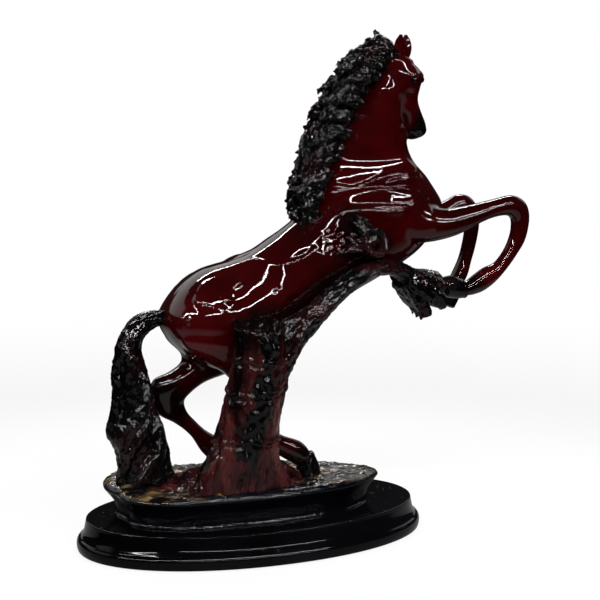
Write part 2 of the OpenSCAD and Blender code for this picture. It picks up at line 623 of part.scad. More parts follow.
// A point beside the middle of one of the head's rows, by shares of that row's half sizes
function by_head(row, forward, out, up) =
    place((row[0] + row[2])/2, row[4], (row[1] + row[3])/2)
    + [cos(row[6]), sin(row[6]), 0]*forward*(row[0] - row[2])/2*horse_l
    + [-sin(row[6]), cos(row[6]), 0]*out*row[5]*horse_w
    + [0, 0, up*horse_h];
module eye_shape(side) {
    translate(by_head(head_shares[3], eye_place_shares[0], side*eye_place_shares[1], eye_place_shares[2]))
        sphere(d = eye_d, $fn = 20);
}
module nostril(side) {
    translate(by_head(head_shares[8], nostril_place_shares[0], side*nostril_place_shares[1],
        nostril_place_shares[2])) sphere(d = eye_d*nostril_share, $fn = 16);
}
module horse_head() {
    color(burgundy) difference() {
        head_shape();
        neck_shape();
        torso_shape();
        eye_shape(-1);
        eye_shape(1);
        nostril(-1);
        nostril(1);
    }
}
module right_eye() {
    color(gloss_black) eye_shape(-1);
}
module left_eye() {
    color(gloss_black) eye_shape(1);
}
ear_row = head_shares[1];
module ear_shape(side) {
    ahead = [cos(ear_row[6]), sin(ear_row[6]), 0]*ear_l;
    out = [-sin(ear_row[6]), cos(ear_row[6]), 0]*side*ear_l;
    up = [0, 0, ear_l];
    root = by_head(ear_row, ear_place_shares[0], side*ear_place_shares[1], 0) - up*ear_sink_share;
    reach = ahead*ear_tip_shares[0] + out*ear_tip_shares[1] + up*ear_tip_shares[2];
    last = len(ear_bulge_shares) - 1;
    skin([for (i = [0:last]) let (at = root + reach*i/last, bulge = ear_bulge_shares[i])
        [for (k = [0:limb_sides - 1])
            let (a = 360*k/limb_sides, cup = i > 0 ? 1 - ear_cup_share*max(sin(a), 0) : 1)
            at + (ahead*ear_half_shares[0]*cos(a) + out*ear_half_shares[1]*sin(a)*cup)*bulge]]);
}
module right_ear() {
    color(burgundy) difference() {
        ear_shape(-1);
        head_shape();
        neck_shape();
    }
}
module left_ear() {
    color(burgundy) difference() {
        ear_shape(1);
        head_shape();
        neck_shape();
    }
}

function along(table, t) =
    let (last = len(table) - 1, i = min(floor(t*last), last - 1), f = t*last - i)
    table[i]*(1 - f) + table[i + 1]*f;
// The mane's solid middle lies between the crest and its points
mane_core_shares = [0.65, 0.03, 0.15, -0.10];   // reach back, reach into the neck, half width, lean
mane_lean_share = -0.12;
lock_reach_shares = [0.28, 0.10];       // how much shorter the outer locks are, and their variation
lock_rise_shares = [0.80, 0.32];        // how high a lock arches, of its thickness, and its variation
lock_spread_shares = [0.08, 0.10];
lock_droop_share = 0.018;
lock_wave = [131, 53, 17];      // how the locks' length changes along the mane and across it
lock_tip_share = 1/6;           // thickness of a lock's tip, of its root
side_lag_share = 0.35;          // how far the side rows are set along from the middle row
module mane_core() {
    last = len(crest_shares) - 1;
    rows = [for (i = [0:last])
        let (c = crest_shares[i], upper = c + (mane_edge_shares[i] - c)*mane_core_shares[0])
        [upper[0], upper[1], c[0] + mane_core_shares[1], c[1],
         mane_core_shares[3]*i/last, mane_core_shares[2], 0]];
    skin(loft(rows, 1, limb_sides));
}
module mane_lock(t, row, i) {
    c = along(crest_shares, t);
    e = along(mane_edge_shares, t);
    y = mane_lean_share*t + mane_side_share*row;
    sway = sin(lock_wave[0]*i + lock_wave[1]*row + lock_wave[2]);
    reach = (e - c)*(1 - lock_reach_shares[0]*abs(row) + lock_reach_shares[1]*sway);
    root = place(c[0] + mane_core_shares[1]/2, y, c[1]);
    tip = place(c[0] + reach[0], y + lock_spread_shares[1]*row,
                c[1] + reach[1] - lock_droop_share*(1 + sway));
    rise = [0, lock_spread_shares[0]*row*horse_w, (lock_rise_shares[0] + lock_rise_shares[1]*sway)*lock_d];
    strand(root, (root + tip)/2 + rise, tip, lock_d/2, lock_d/2*lock_tip_share, 6, 3, lock_flat);
}
module mane_shape() {
    mane_core();
    for (i = [0:mane_lock_count - 1]) for (row = [-1, 0, 1])
        mane_lock(min(max((i + side_lag_share*row)/(mane_lock_count - 1), 0), 1), row, i);
}
module mane() {
    color(gloss_black) difference() {
        mane_shape();
        neck_shape();
        head_shape();
        torso_shape();
        ear_shape(-1);
        ear_shape(1);
    }
}
forelock_tip_shares = [
    [0.288, 1.086, -0.20],
    [0.318, 1.108, -0.08],
    [0.372, 1.035, -0.30],
    [0.392, 1.052, -0.06]];
forelock_root_shares = [0.350, 1.045, -0.16];
forelock_rise_share = 0.7;
module forelock_shape() {
    for (tip = forelock_tip_shares) {
        root = place(forelock_root_shares[0], forelock_root_shares[2], forelock_root_shares[1]);
        end = place(tip[0], tip[2], tip[1]);
        rise = [0, 0, lock_d*forelock_rise_share];
        strand(root, (root + end)/2 + rise, end, lock_d/2, lock_d/2*lock_tip_share, 6, 4, lock_flat);
    }
}
module forelock() {
    color(gloss_black) difference() {
        forelock_shape();
        head_shape();
        neck_shape();
        mane_shape();
        ear_shape(-1);
        ear_shape(1);
    }
}
tail_lobes = 6;
tail_lobe_share = 0.11;
tail_twist = 22;                // turn of the strands from one ring to the next, in degrees
tail_plain_rings = 6;           // rings over which the strands grow out of the dock
module tail_shape() {
    rows = refine(tail_shares, 2);
    skin([for (i = [0:len(rows) - 1])
        oval_ring(rows[i], body_sides, 0, tail_lobe_share*min(i/tail_plain_rings, 1),
                   tail_lobes, tail_twist*i)]);
}
module tail() {
    color(gloss_black) difference() {
        tail_shape();
        torso_shape();
        leg_shape(left_hind_leg_shares);
    }
}

hoof_sides = 16;
module leg_shape(rows) {
    skin(loft(rows, 2, limb_sides));
}
module fore_hoof_shape(rows) {
    skin(loft(rows, 1, hoof_sides));
}
// A hind hoof stands flat on the ground under the last row of its leg
module hind_hoof_shape(rows) {
    low = rows[len(rows) - 1];
    trim = hoof_hair_share*[-1, -1, 1, 1];
    hair = oval_ring([low[0] + trim[0], low[1] + trim[1], low[2] + trim[2], low[3] + trim[3],
        low[4], low[5]*hoof_spread_shares[0], 0], hoof_sides);
    heel = place(low[0], low[4], 0);
    toe = place(low[2] + hoof_toe_share, low[4], 0);
    sole = [for (k = [0:hoof_sides - 1]) let (a = 360*k/hoof_sides)
        (heel + toe)/2 + (heel - toe)/2*cos(a) + [0, low[5]*horse_w*hoof_spread_shares[1]*sin(a), 0]];
    skin([hair, (hair + sole)/2 + [for (k = [0:hoof_sides - 1]) [hoof_hair_share*horse_l, 0, 0]], sole]);
}
module right_foreleg() {
    color(burgundy) difference() {
        leg_shape(right_foreleg_shares);
        torso_shape();
        neck_shape();
    }
}
module left_foreleg() {
    color(burgundy) difference() {
        leg_shape(left_foreleg_shares);
        torso_shape();
        neck_shape();
    }
}
module right_hind_leg() {
    color(burgundy) difference() {
        leg_shape(right_hind_leg_shares);
        torso_shape();
    }
}
module left_hind_leg() {
    color(burgundy) difference() {
        leg_shape(left_hind_leg_shares);
        torso_shape();
    }
}
module right_fore_hoof() {
    color(gloss_black) difference() {
        fore_hoof_shape(right_fore_hoof_shares);
        leg_shape(right_foreleg_shares);
    }
}
module left_fore_hoof() {
    color(gloss_black) difference() {
        fore_hoof_shape(left_fore_hoof_shares);
        leg_shape(left_foreleg_shares);
    }
}
module pin_hole(i) {
    translate(pin_place(i) - [0, 0, pin_l/2]) cylinder(d = pin_d + 2*glue_gap, h = pin_l + glue_gap);
}
module right_hind_hoof() {
    color(gloss_black) difference() {
        hind_hoof_shape(right_hind_leg_shares);
        leg_shape(right_hind_leg_shares);
        pin_hole(0);
    }
}
module left_hind_hoof() {
    color(gloss_black) difference() {
        hind_hoof_shape(left_hind_leg_shares);
        leg_shape(left_hind_leg_shares);
        pin_hole(1);
    }
}
module right_hind_pin() {
    color(steel) translate(pin_place(0) - [0, 0, pin_l/2]) cylinder(d = pin_d, h = pin_l);
}
module left_hind_pin() {
    color(steel) translate(pin_place(1) - [0, 0, pin_l/2]) cylinder(d = pin_d, h = pin_l);
}

felt_pad();
plinth();
base_screws();
ground_mound();
grass_tufts();
tree_trunk();
trunk_dowel();
tree_branch();
branch_knot();
branch_tip();
horse_torso();
horse_neck();
horse_head();
right_ear();
left_ear();
right_eye();
left_eye();
mane();
forelock();
tail();
right_foreleg();
left_foreleg();
right_hind_leg();
left_hind_leg();
right_fore_hoof();
left_fore_hoof();
right_hind_hoof();
left_hind_hoof();
right_hind_pin();
left_hind_pin();
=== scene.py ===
import math
import bpy
import numpy as np
from mathutils import Matrix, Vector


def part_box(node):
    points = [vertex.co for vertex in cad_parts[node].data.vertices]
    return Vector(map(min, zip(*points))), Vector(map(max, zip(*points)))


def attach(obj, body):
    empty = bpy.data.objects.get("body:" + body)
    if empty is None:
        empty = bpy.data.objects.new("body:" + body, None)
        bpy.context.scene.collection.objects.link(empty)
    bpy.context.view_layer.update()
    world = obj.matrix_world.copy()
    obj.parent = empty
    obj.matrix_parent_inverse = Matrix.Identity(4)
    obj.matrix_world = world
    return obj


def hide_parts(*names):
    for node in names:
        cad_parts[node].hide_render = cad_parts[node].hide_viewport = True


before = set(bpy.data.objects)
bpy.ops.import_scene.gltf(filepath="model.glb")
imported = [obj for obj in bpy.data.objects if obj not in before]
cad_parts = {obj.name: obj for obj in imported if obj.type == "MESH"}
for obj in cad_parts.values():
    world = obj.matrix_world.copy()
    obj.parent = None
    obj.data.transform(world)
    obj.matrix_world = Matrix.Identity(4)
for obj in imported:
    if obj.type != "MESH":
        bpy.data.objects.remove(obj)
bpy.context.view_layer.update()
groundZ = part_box("ground_mound")[1].z      # the feet stand at this height
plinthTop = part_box("plinth")[1].z
print("frame loaded, ground at", round(groundZ, 4))

# the horse's own sizes: every row below is a share of them, in the order x, z, x, z, y, half width, turn
horse = {"length": 0.2, "height": 0.2, "width": 0.05, "offset": (0.0032, 0.0047)}
overlap = 0.0004     # how deep tail and trunk stand in the ground
scene = bpy.context.scene


def place(shares):
    # share of length, width and height, added to the ground a little off the plinth's middle
    sizes = np.array([horse["length"], horse["width"], horse["height"]])
    return np.asarray(shares, float)*sizes + np.array([*horse["offset"], groundZ])


def blendRows(rows, count):
    # cubic through neighbouring rows, with slopes from the rows on either side
    rows = np.asarray(rows, float)
    t = np.linspace(0, len(rows) - 1, count)
    i = np.minimum(t.astype(int), len(rows) - 2)
    f = (t - i)[:, None]
    a, b = rows[np.maximum(i - 1, 0)], rows[i]
    c, d = rows[i + 1], rows[np.minimum(i + 2, len(rows) - 1)]
    return 0.5*(2*b + (c - a)*f + (2*a - 5*b + 4*c - d)*f**2 + (3*b - a - 3*c + d)*f**3)


def ripple(points, size, seed, octaves=3):
    # mean of sines in random directions; each octave is twice as fine and half as strong
    rng = np.random.default_rng(seed)
    total = np.zeros(points.shape[:-1])
    for octave in range(octaves):
        ways = rng.normal(size=(7, 3))
        ways /= np.linalg.norm(ways, axis=1, keepdims=True)
        turns = points @ ways.T*(2*math.pi*2**octave/size) + rng.uniform(0, 2*math.pi, 7)
        total += np.sin(turns).mean(-1)/2**octave
    return total


def smoothStep(x):
    x = np.clip(x, 0, 1)
    return x*x*(3 - 2*x)


def ringAngles(count):
    return np.linspace(0, 2*math.pi, count, endpoint=False)


def ovalGrid(rows, along, around, taper=0.0, swell=None):
    # ring point = middle + rise cos a + side sin a (1 - taper cos a), all times the swell at (row, a);
    # a row without a turn stands square to the figure
    r = blendRows([[*row, 0][:7] for row in rows], along)
    a = ringAngles(around)[None, :, None]
    upper, lower = place(r[:, [0, 4, 1]]), place(r[:, [2, 4, 3]])
    middle, reach = (upper + lower)/2, (upper - lower)/2
    turn = np.radians(r[:, 6])
    rise = np.stack([reach[:, 0]*np.cos(turn), reach[:, 0]*np.sin(turn), reach[:, 2]], 1)[:, None]
    side = np.stack([-np.sin(turn), np.cos(turn), 0*turn], 1)*r[:, 5:6]*horse["width"]
    grid = rise*np.cos(a) + side[:, None]*np.sin(a)*(1 - taper*np.cos(a))
    if swell is not None:
        grid = grid*swell(np.linspace(0, 1, along)[:, None], a[..., 0])[..., None]
    return middle[:, None] + grid


def tubeGrid(path, radii, around, flat=1.0, lobes=0, depth=0.0, twist=0.0, side=(0.13, 1, 0.08)):
    # ring point = path + radius (across cos a + up sin a), the radius swelling with cos(lobes a + twist t)
    path = np.asarray(path, float)
    ahead = np.gradient(path, axis=0)
    ahead /= np.linalg.norm(ahead, axis=1, keepdims=True)
    across = np.cross(ahead, np.asarray(side, float))
    across /= np.linalg.norm(across, axis=1, keepdims=True)
    up = np.cross(across, ahead)
    a = ringAngles(around)[None, :, None]
    t = np.linspace(0, 1, len(path))[:, None, None]
    swell = 1 + depth*np.cos(lobes*a + twist*t)
    return path[:, None] + np.asarray(radii)[:, None, None]*swell*(
        across[:, None]*np.cos(a) + up[:, None]*np.sin(a)*flat)


def curl(root, bend, tip, count):
    # the parabola from root to tip that leans towards the bend
    t = np.linspace(0, 1, count)[:, None]
    return np.asarray(root)*(1 - t)**2 + 2*np.asarray(bend)*t*(1 - t) + np.asarray(tip)*t**2


def closedTube(grid):
    # quads between neighbouring rings, a fan to the middle of each end ring, turned outwards by volume
    rings, sides = grid.shape[:2]
    k = np.arange(sides)
    n = np.roll(k, -1)
    start = np.arange(rings - 1)[:, None]*sides
    quads = np.stack([start + k, start + n, start + sides + n, start + sides + k], -1).reshape(-1, 4)
    low, high, last = rings*sides, rings*sides + 1, (rings - 1)*sides
    fans = np.concatenate([np.stack([n, k, low + 0*k], -1), np.stack([last + k, last + n, high + 0*k], -1)])
    points = np.concatenate([grid.reshape(-1, 3), grid[:1].mean(1), grid[-1:].mean(1)])
    tris = np.concatenate([quads[:, :3], quads[:, [0, 2, 3]], fans])
    corner = points[tris]
    if np.einsum("ij,ij->", corner[:, 0], np.cross(corner[:, 1], corner[:, 2])) < 0:
        quads, fans = quads[:, ::-1], fans[:, ::-1]
    return points, quads, fans


def meshPiece(name, solids, material, nodes):
    # the solids' points one after another in one mesh, which stands for the CAD nodes
    mesh = bpy.data.meshes.new(name)
    points, faces, base = [], [], 0
    for p, quads, fans in solids:
        points.append(p)
        faces += (quads + base).tolist() + (fans + base).tolist()
        base += len(p)
    mesh.from_pydata(np.concatenate(points).tolist(), [], faces)
    mesh.polygons.foreach_set("use_smooth", np.full(len(mesh.polygons), True))
    mesh.update()
    piece = bpy.data.objects.new(name, mesh)
    scene.collection.objects.link(piece)
    mesh.materials.append(material)
    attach(piece, "root")
    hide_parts(*nodes)
    return piece


def dress(mesh, material):
    mesh.materials.clear()
    mesh.materials.append(material)


def remeshed(piece, voxel, rounds):
    # one skin over all the solids, then each point moves half way to the mean of its neighbours
    fuse = piece.modifiers.new("fuse", "REMESH")
    fuse.mode = "VOXEL"
    fuse.voxel_size = voxel
    fuse.use_smooth_shade = True
    ready = piece.evaluated_get(bpy.context.evaluated_depsgraph_get())
    mesh = bpy.data.meshes.new_from_object(ready)
    piece.modifiers.clear()
    piece.data = mesh
    points, edges = readPoints(mesh), np.empty(len(mesh.edges)*2, int)
    mesh.edges.foreach_get("vertices", edges)
    a, b = edges.reshape(-1, 2).T
    share = np.bincount(np.concatenate([a, b]), minlength=len(points))[:, None]
    for _ in range(rounds):
        total = np.stack([np.bincount(a, line[b], len(points)) + np.bincount(b, line[a], len(points))
                          for line in points.T], 1)
        points = (points + total/share)/2
    writePoints(mesh, points)
    return piece


def carved(piece, layers, seed, share=1.0):
    # each layer of size, height and squash moves the points along their normals by its height times
    # 0.5 - 3|ripple|, which makes sharp ridges and round dips
    mesh = piece.data
    points, normals = readPoints(mesh), readNormals(mesh)
    lift = np.zeros(len(points))
    for i, (size, height, squash) in enumerate(layers):
        ridge = 0.5 - 3*np.abs(ripple(points*[1, 1, squash], size, seed + i, 1))
        lift += height*np.maximum(ridge, -1)
    writePoints(mesh, points + normals*(lift*share)[:, None])


def fusedPiece(name, solids, material, nodes, voxel, layers, seed, share=None):
    # the solids fused to one skin and carved, as deep as share says for each point
    piece = remeshed(meshPiece(name, solids, material, nodes), voxel, 1)
    carved(piece, layers, seed, share(readPoints(piece.data)) if share else 1.0)
    dress(piece.data, material)
    return piece


def readPoints(mesh, kind="co"):
    values = np.empty(len(mesh.vertices)*3)
    mesh.vertices.foreach_get(kind, values)
    return values.reshape(-1, 3)


def readNormals(mesh):
    return readPoints(mesh, "normal")


def writePoints(mesh, points):
    mesh.vertices.foreach_set("co", points.ravel())
    mesh.update()


def flankLine(line):
    # x, z in shares as points on the middle plane y = 0
    return place([[x, 0, z] for x, z in line])*[1, 0, 1]


def toLine(points, line):
    # distance from each point to the nearest stretch of a line, and how far along the line that is
    line = np.asarray(line, float)
    a, b = line[:-1][None], line[1:][None]
    f = np.clip(((points[:, None] - a)*(b - a)).sum(-1)/((b - a)**2).sum(-1), 0, 1)
    gap = np.linalg.norm(points[:, None] - a - (b - a)*f[..., None], axis=-1)
    nearest = gap.argmin(1)
    pick = np.arange(len(points))
    return gap[pick, nearest], (nearest + f[pick, nearest])/(len(line) - 1)


def standOnGround(mesh, points):
    # nothing reaches further into the ground than the overlap
    points[:, 2] = np.maximum(points[:, 2], groundZ - overlap)
    writePoints(mesh, points)


def paintShade(mesh, name, values):
    # one number a point, read by the material
    layer = mesh.attributes.new(name, "FLOAT", "POINT")
    layer.data.foreach_set("value", values.astype(np.float32))


def newMaterial(name, **values):
    material = bpy.data.materials.new(name)
    material.use_nodes = True
    shader = material.node_tree.nodes["Principled BSDF"]
    for key, value in values.items():
        shader.inputs[key].default_value = value
    return material, material.node_tree, shader


def addNode(tree, kind, **values):
    # a value goes to the input of its name, or else to the node's own setting
    node = tree.nodes.new(kind)
    for key, value in values.items():
        if key in node.inputs:
            node.inputs[key].default_value = value
        else:
            setattr(node, key, value)
    return node


def noiseOf(tree, scale, detail=4.0, stretch=(1, 1, 1), turn=(0, 0, 0), distortion=0.0):
    # noise on Object coordinates, stretched by a Mapping node
    place = addNode(tree, "ShaderNodeTexCoord")
    mapping = addNode(tree, "ShaderNodeMapping", Scale=stretch, Rotation=turn)
    noise = addNode(tree, "ShaderNodeTexNoise", Scale=scale, Detail=detail, Distortion=distortion)
    tree.links.new(place.outputs["Object"], mapping.inputs["Vector"])
    tree.links.new(mapping.outputs["Vector"], noise.inputs["Vector"])
    return noise.outputs["Fac"]


def rampOf(tree, value, stops):
    ramp = addNode(tree, "ShaderNodeValToRGB")
    elements = ramp.color_ramp.elements
    while len(elements) < len(stops):
        elements.new(0.5)
    for element, (position, colour) in zip(elements, stops):
        element.position = position
        element.color = (*colour, 1)
    tree.links.new(value, ramp.inputs["Fac"])
    return ramp.outputs["Color"]


def colourBy(tree, shader, value, stops, socket="Base Color"):
    tree.links.new(rampOf(tree, value, stops), shader.inputs[socket])


def mixOf(tree, factor, first, second):
    mix = addNode(tree, "ShaderNodeMix", data_type="RGBA")
    tree.links.new(factor, mix.inputs[0])
    for socket, colour in ((mix.inputs[6], first), (mix.inputs[7], second)):
        if isinstance(colour, tuple):
            socket.default_value = (*colour, 1)
        else:
            tree.links.new(colour, socket)
    return mix.outputs[2]


def mathOf(tree, operation, first, second):
    node = addNode(tree, "ShaderNodeMath", operation=operation)
    tree.links.new(first, node.inputs[0])
    tree.links.new(second, node.inputs[1])
    return node.outputs[0]


def fadeOf(tree, value, start, end, near=0.0, far=1.0):
    # near where the value is at start, far where it is at end, and a smooth step between them
    node = addNode(tree, "ShaderNodeMapRange", interpolation_type="SMOOTHSTEP")
    for key, number in (("From Min", start), ("From Max", end), ("To Min", near), ("To Max", far)):
        node.inputs[key].default_value = number
    tree.links.new(value, node.inputs["Value"])
    return node.outputs[0]


def pathShare(tree, *rays):
    # 1 where one of the named kinds of ray arrives
    path = addNode(tree, "ShaderNodeLightPath")
    total = path.outputs[rays[0]]
    for ray in rays[1:]:
        total = mathOf(tree, "MAXIMUM", total, path.outputs[ray])
    return total


def bumpOf(tree, shader, height, strength, distance, under=None, coat=False):
    # a bump on the shader's normal, laid over the bump under it where there is one
    bump = addNode(tree, "ShaderNodeBump", Strength=strength, Distance=distance)
    tree.links.new(height, bump.inputs["Height"])
    if under:
        tree.links.new(under, bump.inputs["Normal"])
    tree.links.new(bump.outputs["Normal"], shader.inputs["Normal"])
    if coat:
        tree.links.new(bump.outputs["Normal"], shader.inputs["Coat Normal"])
    return bump.outputs["Normal"]


def shadedColour(tree, shader, colour, *shades):
    # the colour covered by each shade's own one, as far as the number painted on the points says
    for name, cover in shades:
        painted = addNode(tree, "ShaderNodeAttribute", attribute_name=name)
        colour = mixOf(tree, painted.outputs["Fac"], colour, cover)
    tree.links.new(colour, shader.inputs["Base Color"])


lacquer = {"Roughness": 0.45, "Coat Weight": 1.0, "Coat Roughness": 0.024, "Coat IOR": 1.36,
           "Specular IOR Level": 0.0}
lacquerGrain = 0.00012      # depth of the finest unevenness of the lacquer


def sparkle(tree, shader, body, bodyStrength, bodyDistance, grainScale, grainStrength):
    # two bumps one over the other: the body's own unevenness, then a fine grain that breaks the highlights
    uneven = bumpOf(tree, shader, body, bodyStrength, bodyDistance)
    bumpOf(tree, shader, noiseOf(tree, grainScale, 3), grainStrength, lacquerGrain, uneven, coat=True)


def makeHorseRed():
    # burgundy that clouds darker and redder, blackened where black paint and painted shade lie on the
    # points
    material, tree, shader = newMaterial("horseRed", **{**lacquer, "Coat IOR": 1.44})
    cloud = rampOf(tree, noiseOf(tree, 28, 3), [
        (0.3, (0.01, 0.0002, 0.0003)), (0.55, (0.021, 0.0005, 0.0008)), (0.78, (0.04, 0.0011, 0.0019))])
    shadedColour(tree, shader, cloud, ("blackPaintAndShade", (0.001, 0.0007, 0.0007)))
    sparkle(tree, shader, noiseOf(tree, 60, 2), 0.06, 0.0006, 1100, 0.1)
    return material


def makeGlossBlack(name, tint, tintShare, bumpScale, bumpHeight, grain):
    # black lacquer with a tint that shows in patches
    material, tree, shader = newMaterial(name, **{**lacquer, "Coat IOR": 1.34})
    black = (0.0009, 0.0008, 0.0009)
    colourBy(tree, shader, noiseOf(tree, 55, 5), [(0.5 - tintShare/3, black), (0.66, tint)])
    sparkle(tree, shader, noiseOf(tree, bumpScale, 0.5), 0.9, bumpHeight, 1100, grain)
    return material


def makeBark():
    # burgundy brown wood, black in the grooves, with a long grain
    material, tree, shader = newMaterial("barkRed", **{**lacquer, "Coat IOR": 1.3})
    grain = noiseOf(tree, 90, 6, stretch=(1, 1, 0.2), distortion=1.2)
    wood = rampOf(tree, grain, [
        (0.38, (0.0018, 0.0007, 0.0008)), (0.53, (0.024, 0.0042, 0.0042)), (0.7, (0.062, 0.017, 0.015))])
    shadedColour(tree, shader, wood, ("rust", (0.046, 0.01, 0.011)), ("blackPaintAndShade", (0.0009, 0.0007, 0.0008)))
    fibres = noiseOf(tree, 280, 2, stretch=(1, 1, 0.3), distortion=0.8)
    sparkle(tree, shader, fibres, 0.8, 0.0009, 900, 0.04)
    return material


def makeGroundPaint():
    # black lacquer, with ochre, khaki and grey brushed over its top by the shade
    values = {**lacquer, "Coat Weight": 0.8, "Roughness": 0.35}
    material, tree, shader = newMaterial("groundPaint", **values)
    strokes = noiseOf(tree, 95, 5, stretch=(0.45, 1.3, 1), turn=(0, 0, 0.5), distortion=2.0)
    paint = rampOf(tree, strokes, [
        (0.46, (0.003, 0.002, 0.002)), (0.54, (0.036, 0.026, 0.018)), (0.62, (0.12, 0.07, 0.018)),
        (0.78, (0.26, 0.21, 0.14))])
    dull = rampOf(tree, strokes, [
        (0.38, (0.006, 0.006, 0.007)), (0.56, (0.04, 0.034, 0.028)), (0.74, (0.17, 0.15, 0.12))])
    shadedColour(tree, shader, paint, ("khaki", dull), ("rust", (0.06, 0.009, 0.008)),
                 ("blackPaintAndShade", (0.0009, 0.001, 0.002)))
    sparkle(tree, shader, strokes, 0.6, 0.0009, 800, 0.35)
    return material


def makePlinthBlack():
    # deep black with a trace of blue, nearly flat, with specks of dust under the lacquer
    values = {**lacquer, "Coat Roughness": 0.06, "Coat IOR": 1.22}
    material, tree, shader = newMaterial("plinthBlack", **values)
    cloud = noiseOf(tree, 18, 3)
    colourBy(tree, shader, cloud, [(0.35, (0.0006, 0.0006, 0.0008)), (0.7, (0.0018, 0.0019, 0.0028))])
    specks = rampOf(tree, noiseOf(tree, 420, 1), [(0.7, (0, 0, 0)), (0.78, (1, 1, 1))])
    bumpOf(tree, shader, specks, 0.12, 0.0003, coat=True)
    return material


def makeGrained(name, values, noise, stops, bump):
    # one noise gives both the colour and the bump
    material, tree, shader = newMaterial(name, **values)
    grain = noiseOf(tree, *noise)
    colourBy(tree, shader, grain, stops)
    bumpOf(tree, shader, grain, *bump)
    return material


def makeSteel():
    # one noise, drawn out along the axis, gives both the colour and the roughness
    material, tree, shader = newMaterial("zincSteel", Metallic=1.0)
    wear = noiseOf(tree, 300, 4, stretch=(1, 1, 0.1))
    colourBy(tree, shader, wear, [(0.3, (0.42, 0.43, 0.45)), (0.7, (0.62, 0.63, 0.66))])
    colourBy(tree, shader, wear, [(0.3, (0.25, 0.25, 0.25)), (0.7, (0.42, 0.42, 0.42))], "Roughness")
    return material


horseRed = makeHorseRed()
hairBlack = makeGlossBlack("hairBlack", (0.006, 0.0014, 0.002), 0.06, 300, 0.0008, 0.02)
woodBlack = makeGlossBlack("woodBlack", (0.014, 0.0024, 0.0032), 0.1, 260, 0.0009, 0.02)
hoofBlack = makeGlossBlack("hoofBlack", (0.006, 0.004, 0.0042), 0.1, 90, 0.0004, 0.15)
eyeBlack = makeGlossBlack("eyeBlack", (0.004, 0.003, 0.003), 0.05, 60, 0.0001, 0.0)
barkRed = makeBark()
groundPaint = makeGroundPaint()
plinthBlack = makePlinthBlack()
felt = makeGrained("feltBlack", {"Roughness": 0.95, "Sheen Weight": 0.3}, (900, 6),
                   [(0.35, (0.01, 0.01, 0.012)), (0.65, (0.028, 0.028, 0.032))], (0.6, 0.0004))
beech = makeGrained("beechWood", {"Roughness": 0.55}, (260, 5, (1, 1, 0.08)),
                    [(0.35, (0.42, 0.25, 0.12)), (0.65, (0.62, 0.43, 0.24))], (0.2, 0.0002))
steel = makeSteel()
print("materials made")


torsoRows = [
    [-0.245, 0.4, -0.238, 0.382, 0, 0.08], [-0.236, 0.43, -0.216, 0.348, 0, 0.27],
    [-0.196, 0.482, -0.168, 0.305, 0, 0.42], [-0.135, 0.525, -0.1, 0.275, 0, 0.49],
    [-0.06, 0.545, -0.005, 0.28, 0, 0.47], [0, 0.567, 0.09, 0.325, 0, 0.43],
    [0.05, 0.597, 0.172, 0.39, 0, 0.43], [0.1, 0.63, 0.252, 0.442, 0, 0.44],
    [0.14, 0.665, 0.33, 0.48, 0, 0.43], [0.185, 0.705, 0.4, 0.514, 0, 0.41],
    [0.25, 0.745, 0.463, 0.556, 0, 0.38], [0.33, 0.76, 0.505, 0.61, 0, 0.33],
    [0.415, 0.755, 0.524, 0.662, 0, 0.22], [0.465, 0.735, 0.505, 0.7, 0, 0.08]]
neckRows = [
    [0.14, 0.63, 0.45, 0.6, 0, 0.27, 0], [0.15, 0.685, 0.512, 0.672, 0, 0.31, 0],
    [0.185, 0.745, 0.483, 0.732, 0, 0.3, 0], [0.215, 0.805, 0.438, 0.782, 0, 0.26, 0],
    [0.24, 0.87, 0.412, 0.838, -0.02, 0.23, -8], [0.272, 0.935, 0.393, 0.888, -0.06, 0.21, -20],
    [0.305, 0.99, 0.392, 0.925, -0.1, 0.19, -32], [0.34, 1.04, 0.395, 0.96, -0.15, 0.16, -42],
    [0.362, 1.058, 0.4, 0.995, -0.17, 0.11, -45]]
headRows = [
    [0.382, 1.06, 0.358, 1.06, -0.16, 0.07, -45], [0.402, 1.045, 0.336, 1.04, -0.17, 0.14, -45],
    [0.42, 1.024, 0.324, 1.008, -0.17, 0.165, -45], [0.44, 1, 0.318, 0.976, -0.18, 0.18, -45],
    [0.434, 0.968, 0.33, 0.942, -0.18, 0.17, -45], [0.429, 0.938, 0.356, 0.915, -0.18, 0.135, -45],
    [0.438, 0.908, 0.38, 0.89, -0.19, 0.112, -45], [0.451, 0.88, 0.39, 0.864, -0.19, 0.108, -45],
    [0.453, 0.858, 0.398, 0.848, -0.19, 0.104, -45], [0.438, 0.842, 0.412, 0.84, -0.19, 0.06, -45]]
rightForeRows = [
    [0.41, 0.7, 0.365, 0.575, -0.2, 0.19], [0.49, 0.662, 0.44, 0.573, -0.25, 0.18],
    [0.565, 0.666, 0.53, 0.588, -0.27, 0.145], [0.65, 0.681, 0.62, 0.625, -0.28, 0.112],
    [0.702, 0.689, 0.677, 0.636, -0.28, 0.108], [0.739, 0.67, 0.701, 0.627, -0.28, 0.112],
    [0.752, 0.63, 0.703, 0.6, -0.28, 0.104], [0.742, 0.572, 0.694, 0.572, -0.28, 0.088],
    [0.716, 0.531, 0.678, 0.542, -0.28, 0.08], [0.685, 0.493, 0.652, 0.514, -0.28, 0.08],
    [0.652, 0.462, 0.62, 0.502, -0.28, 0.096], [0.617, 0.44, 0.592, 0.486, -0.28, 0.096],
    [0.582, 0.431, 0.568, 0.47, -0.28, 0.084], [0.552, 0.43, 0.546, 0.466, -0.28, 0.082]]
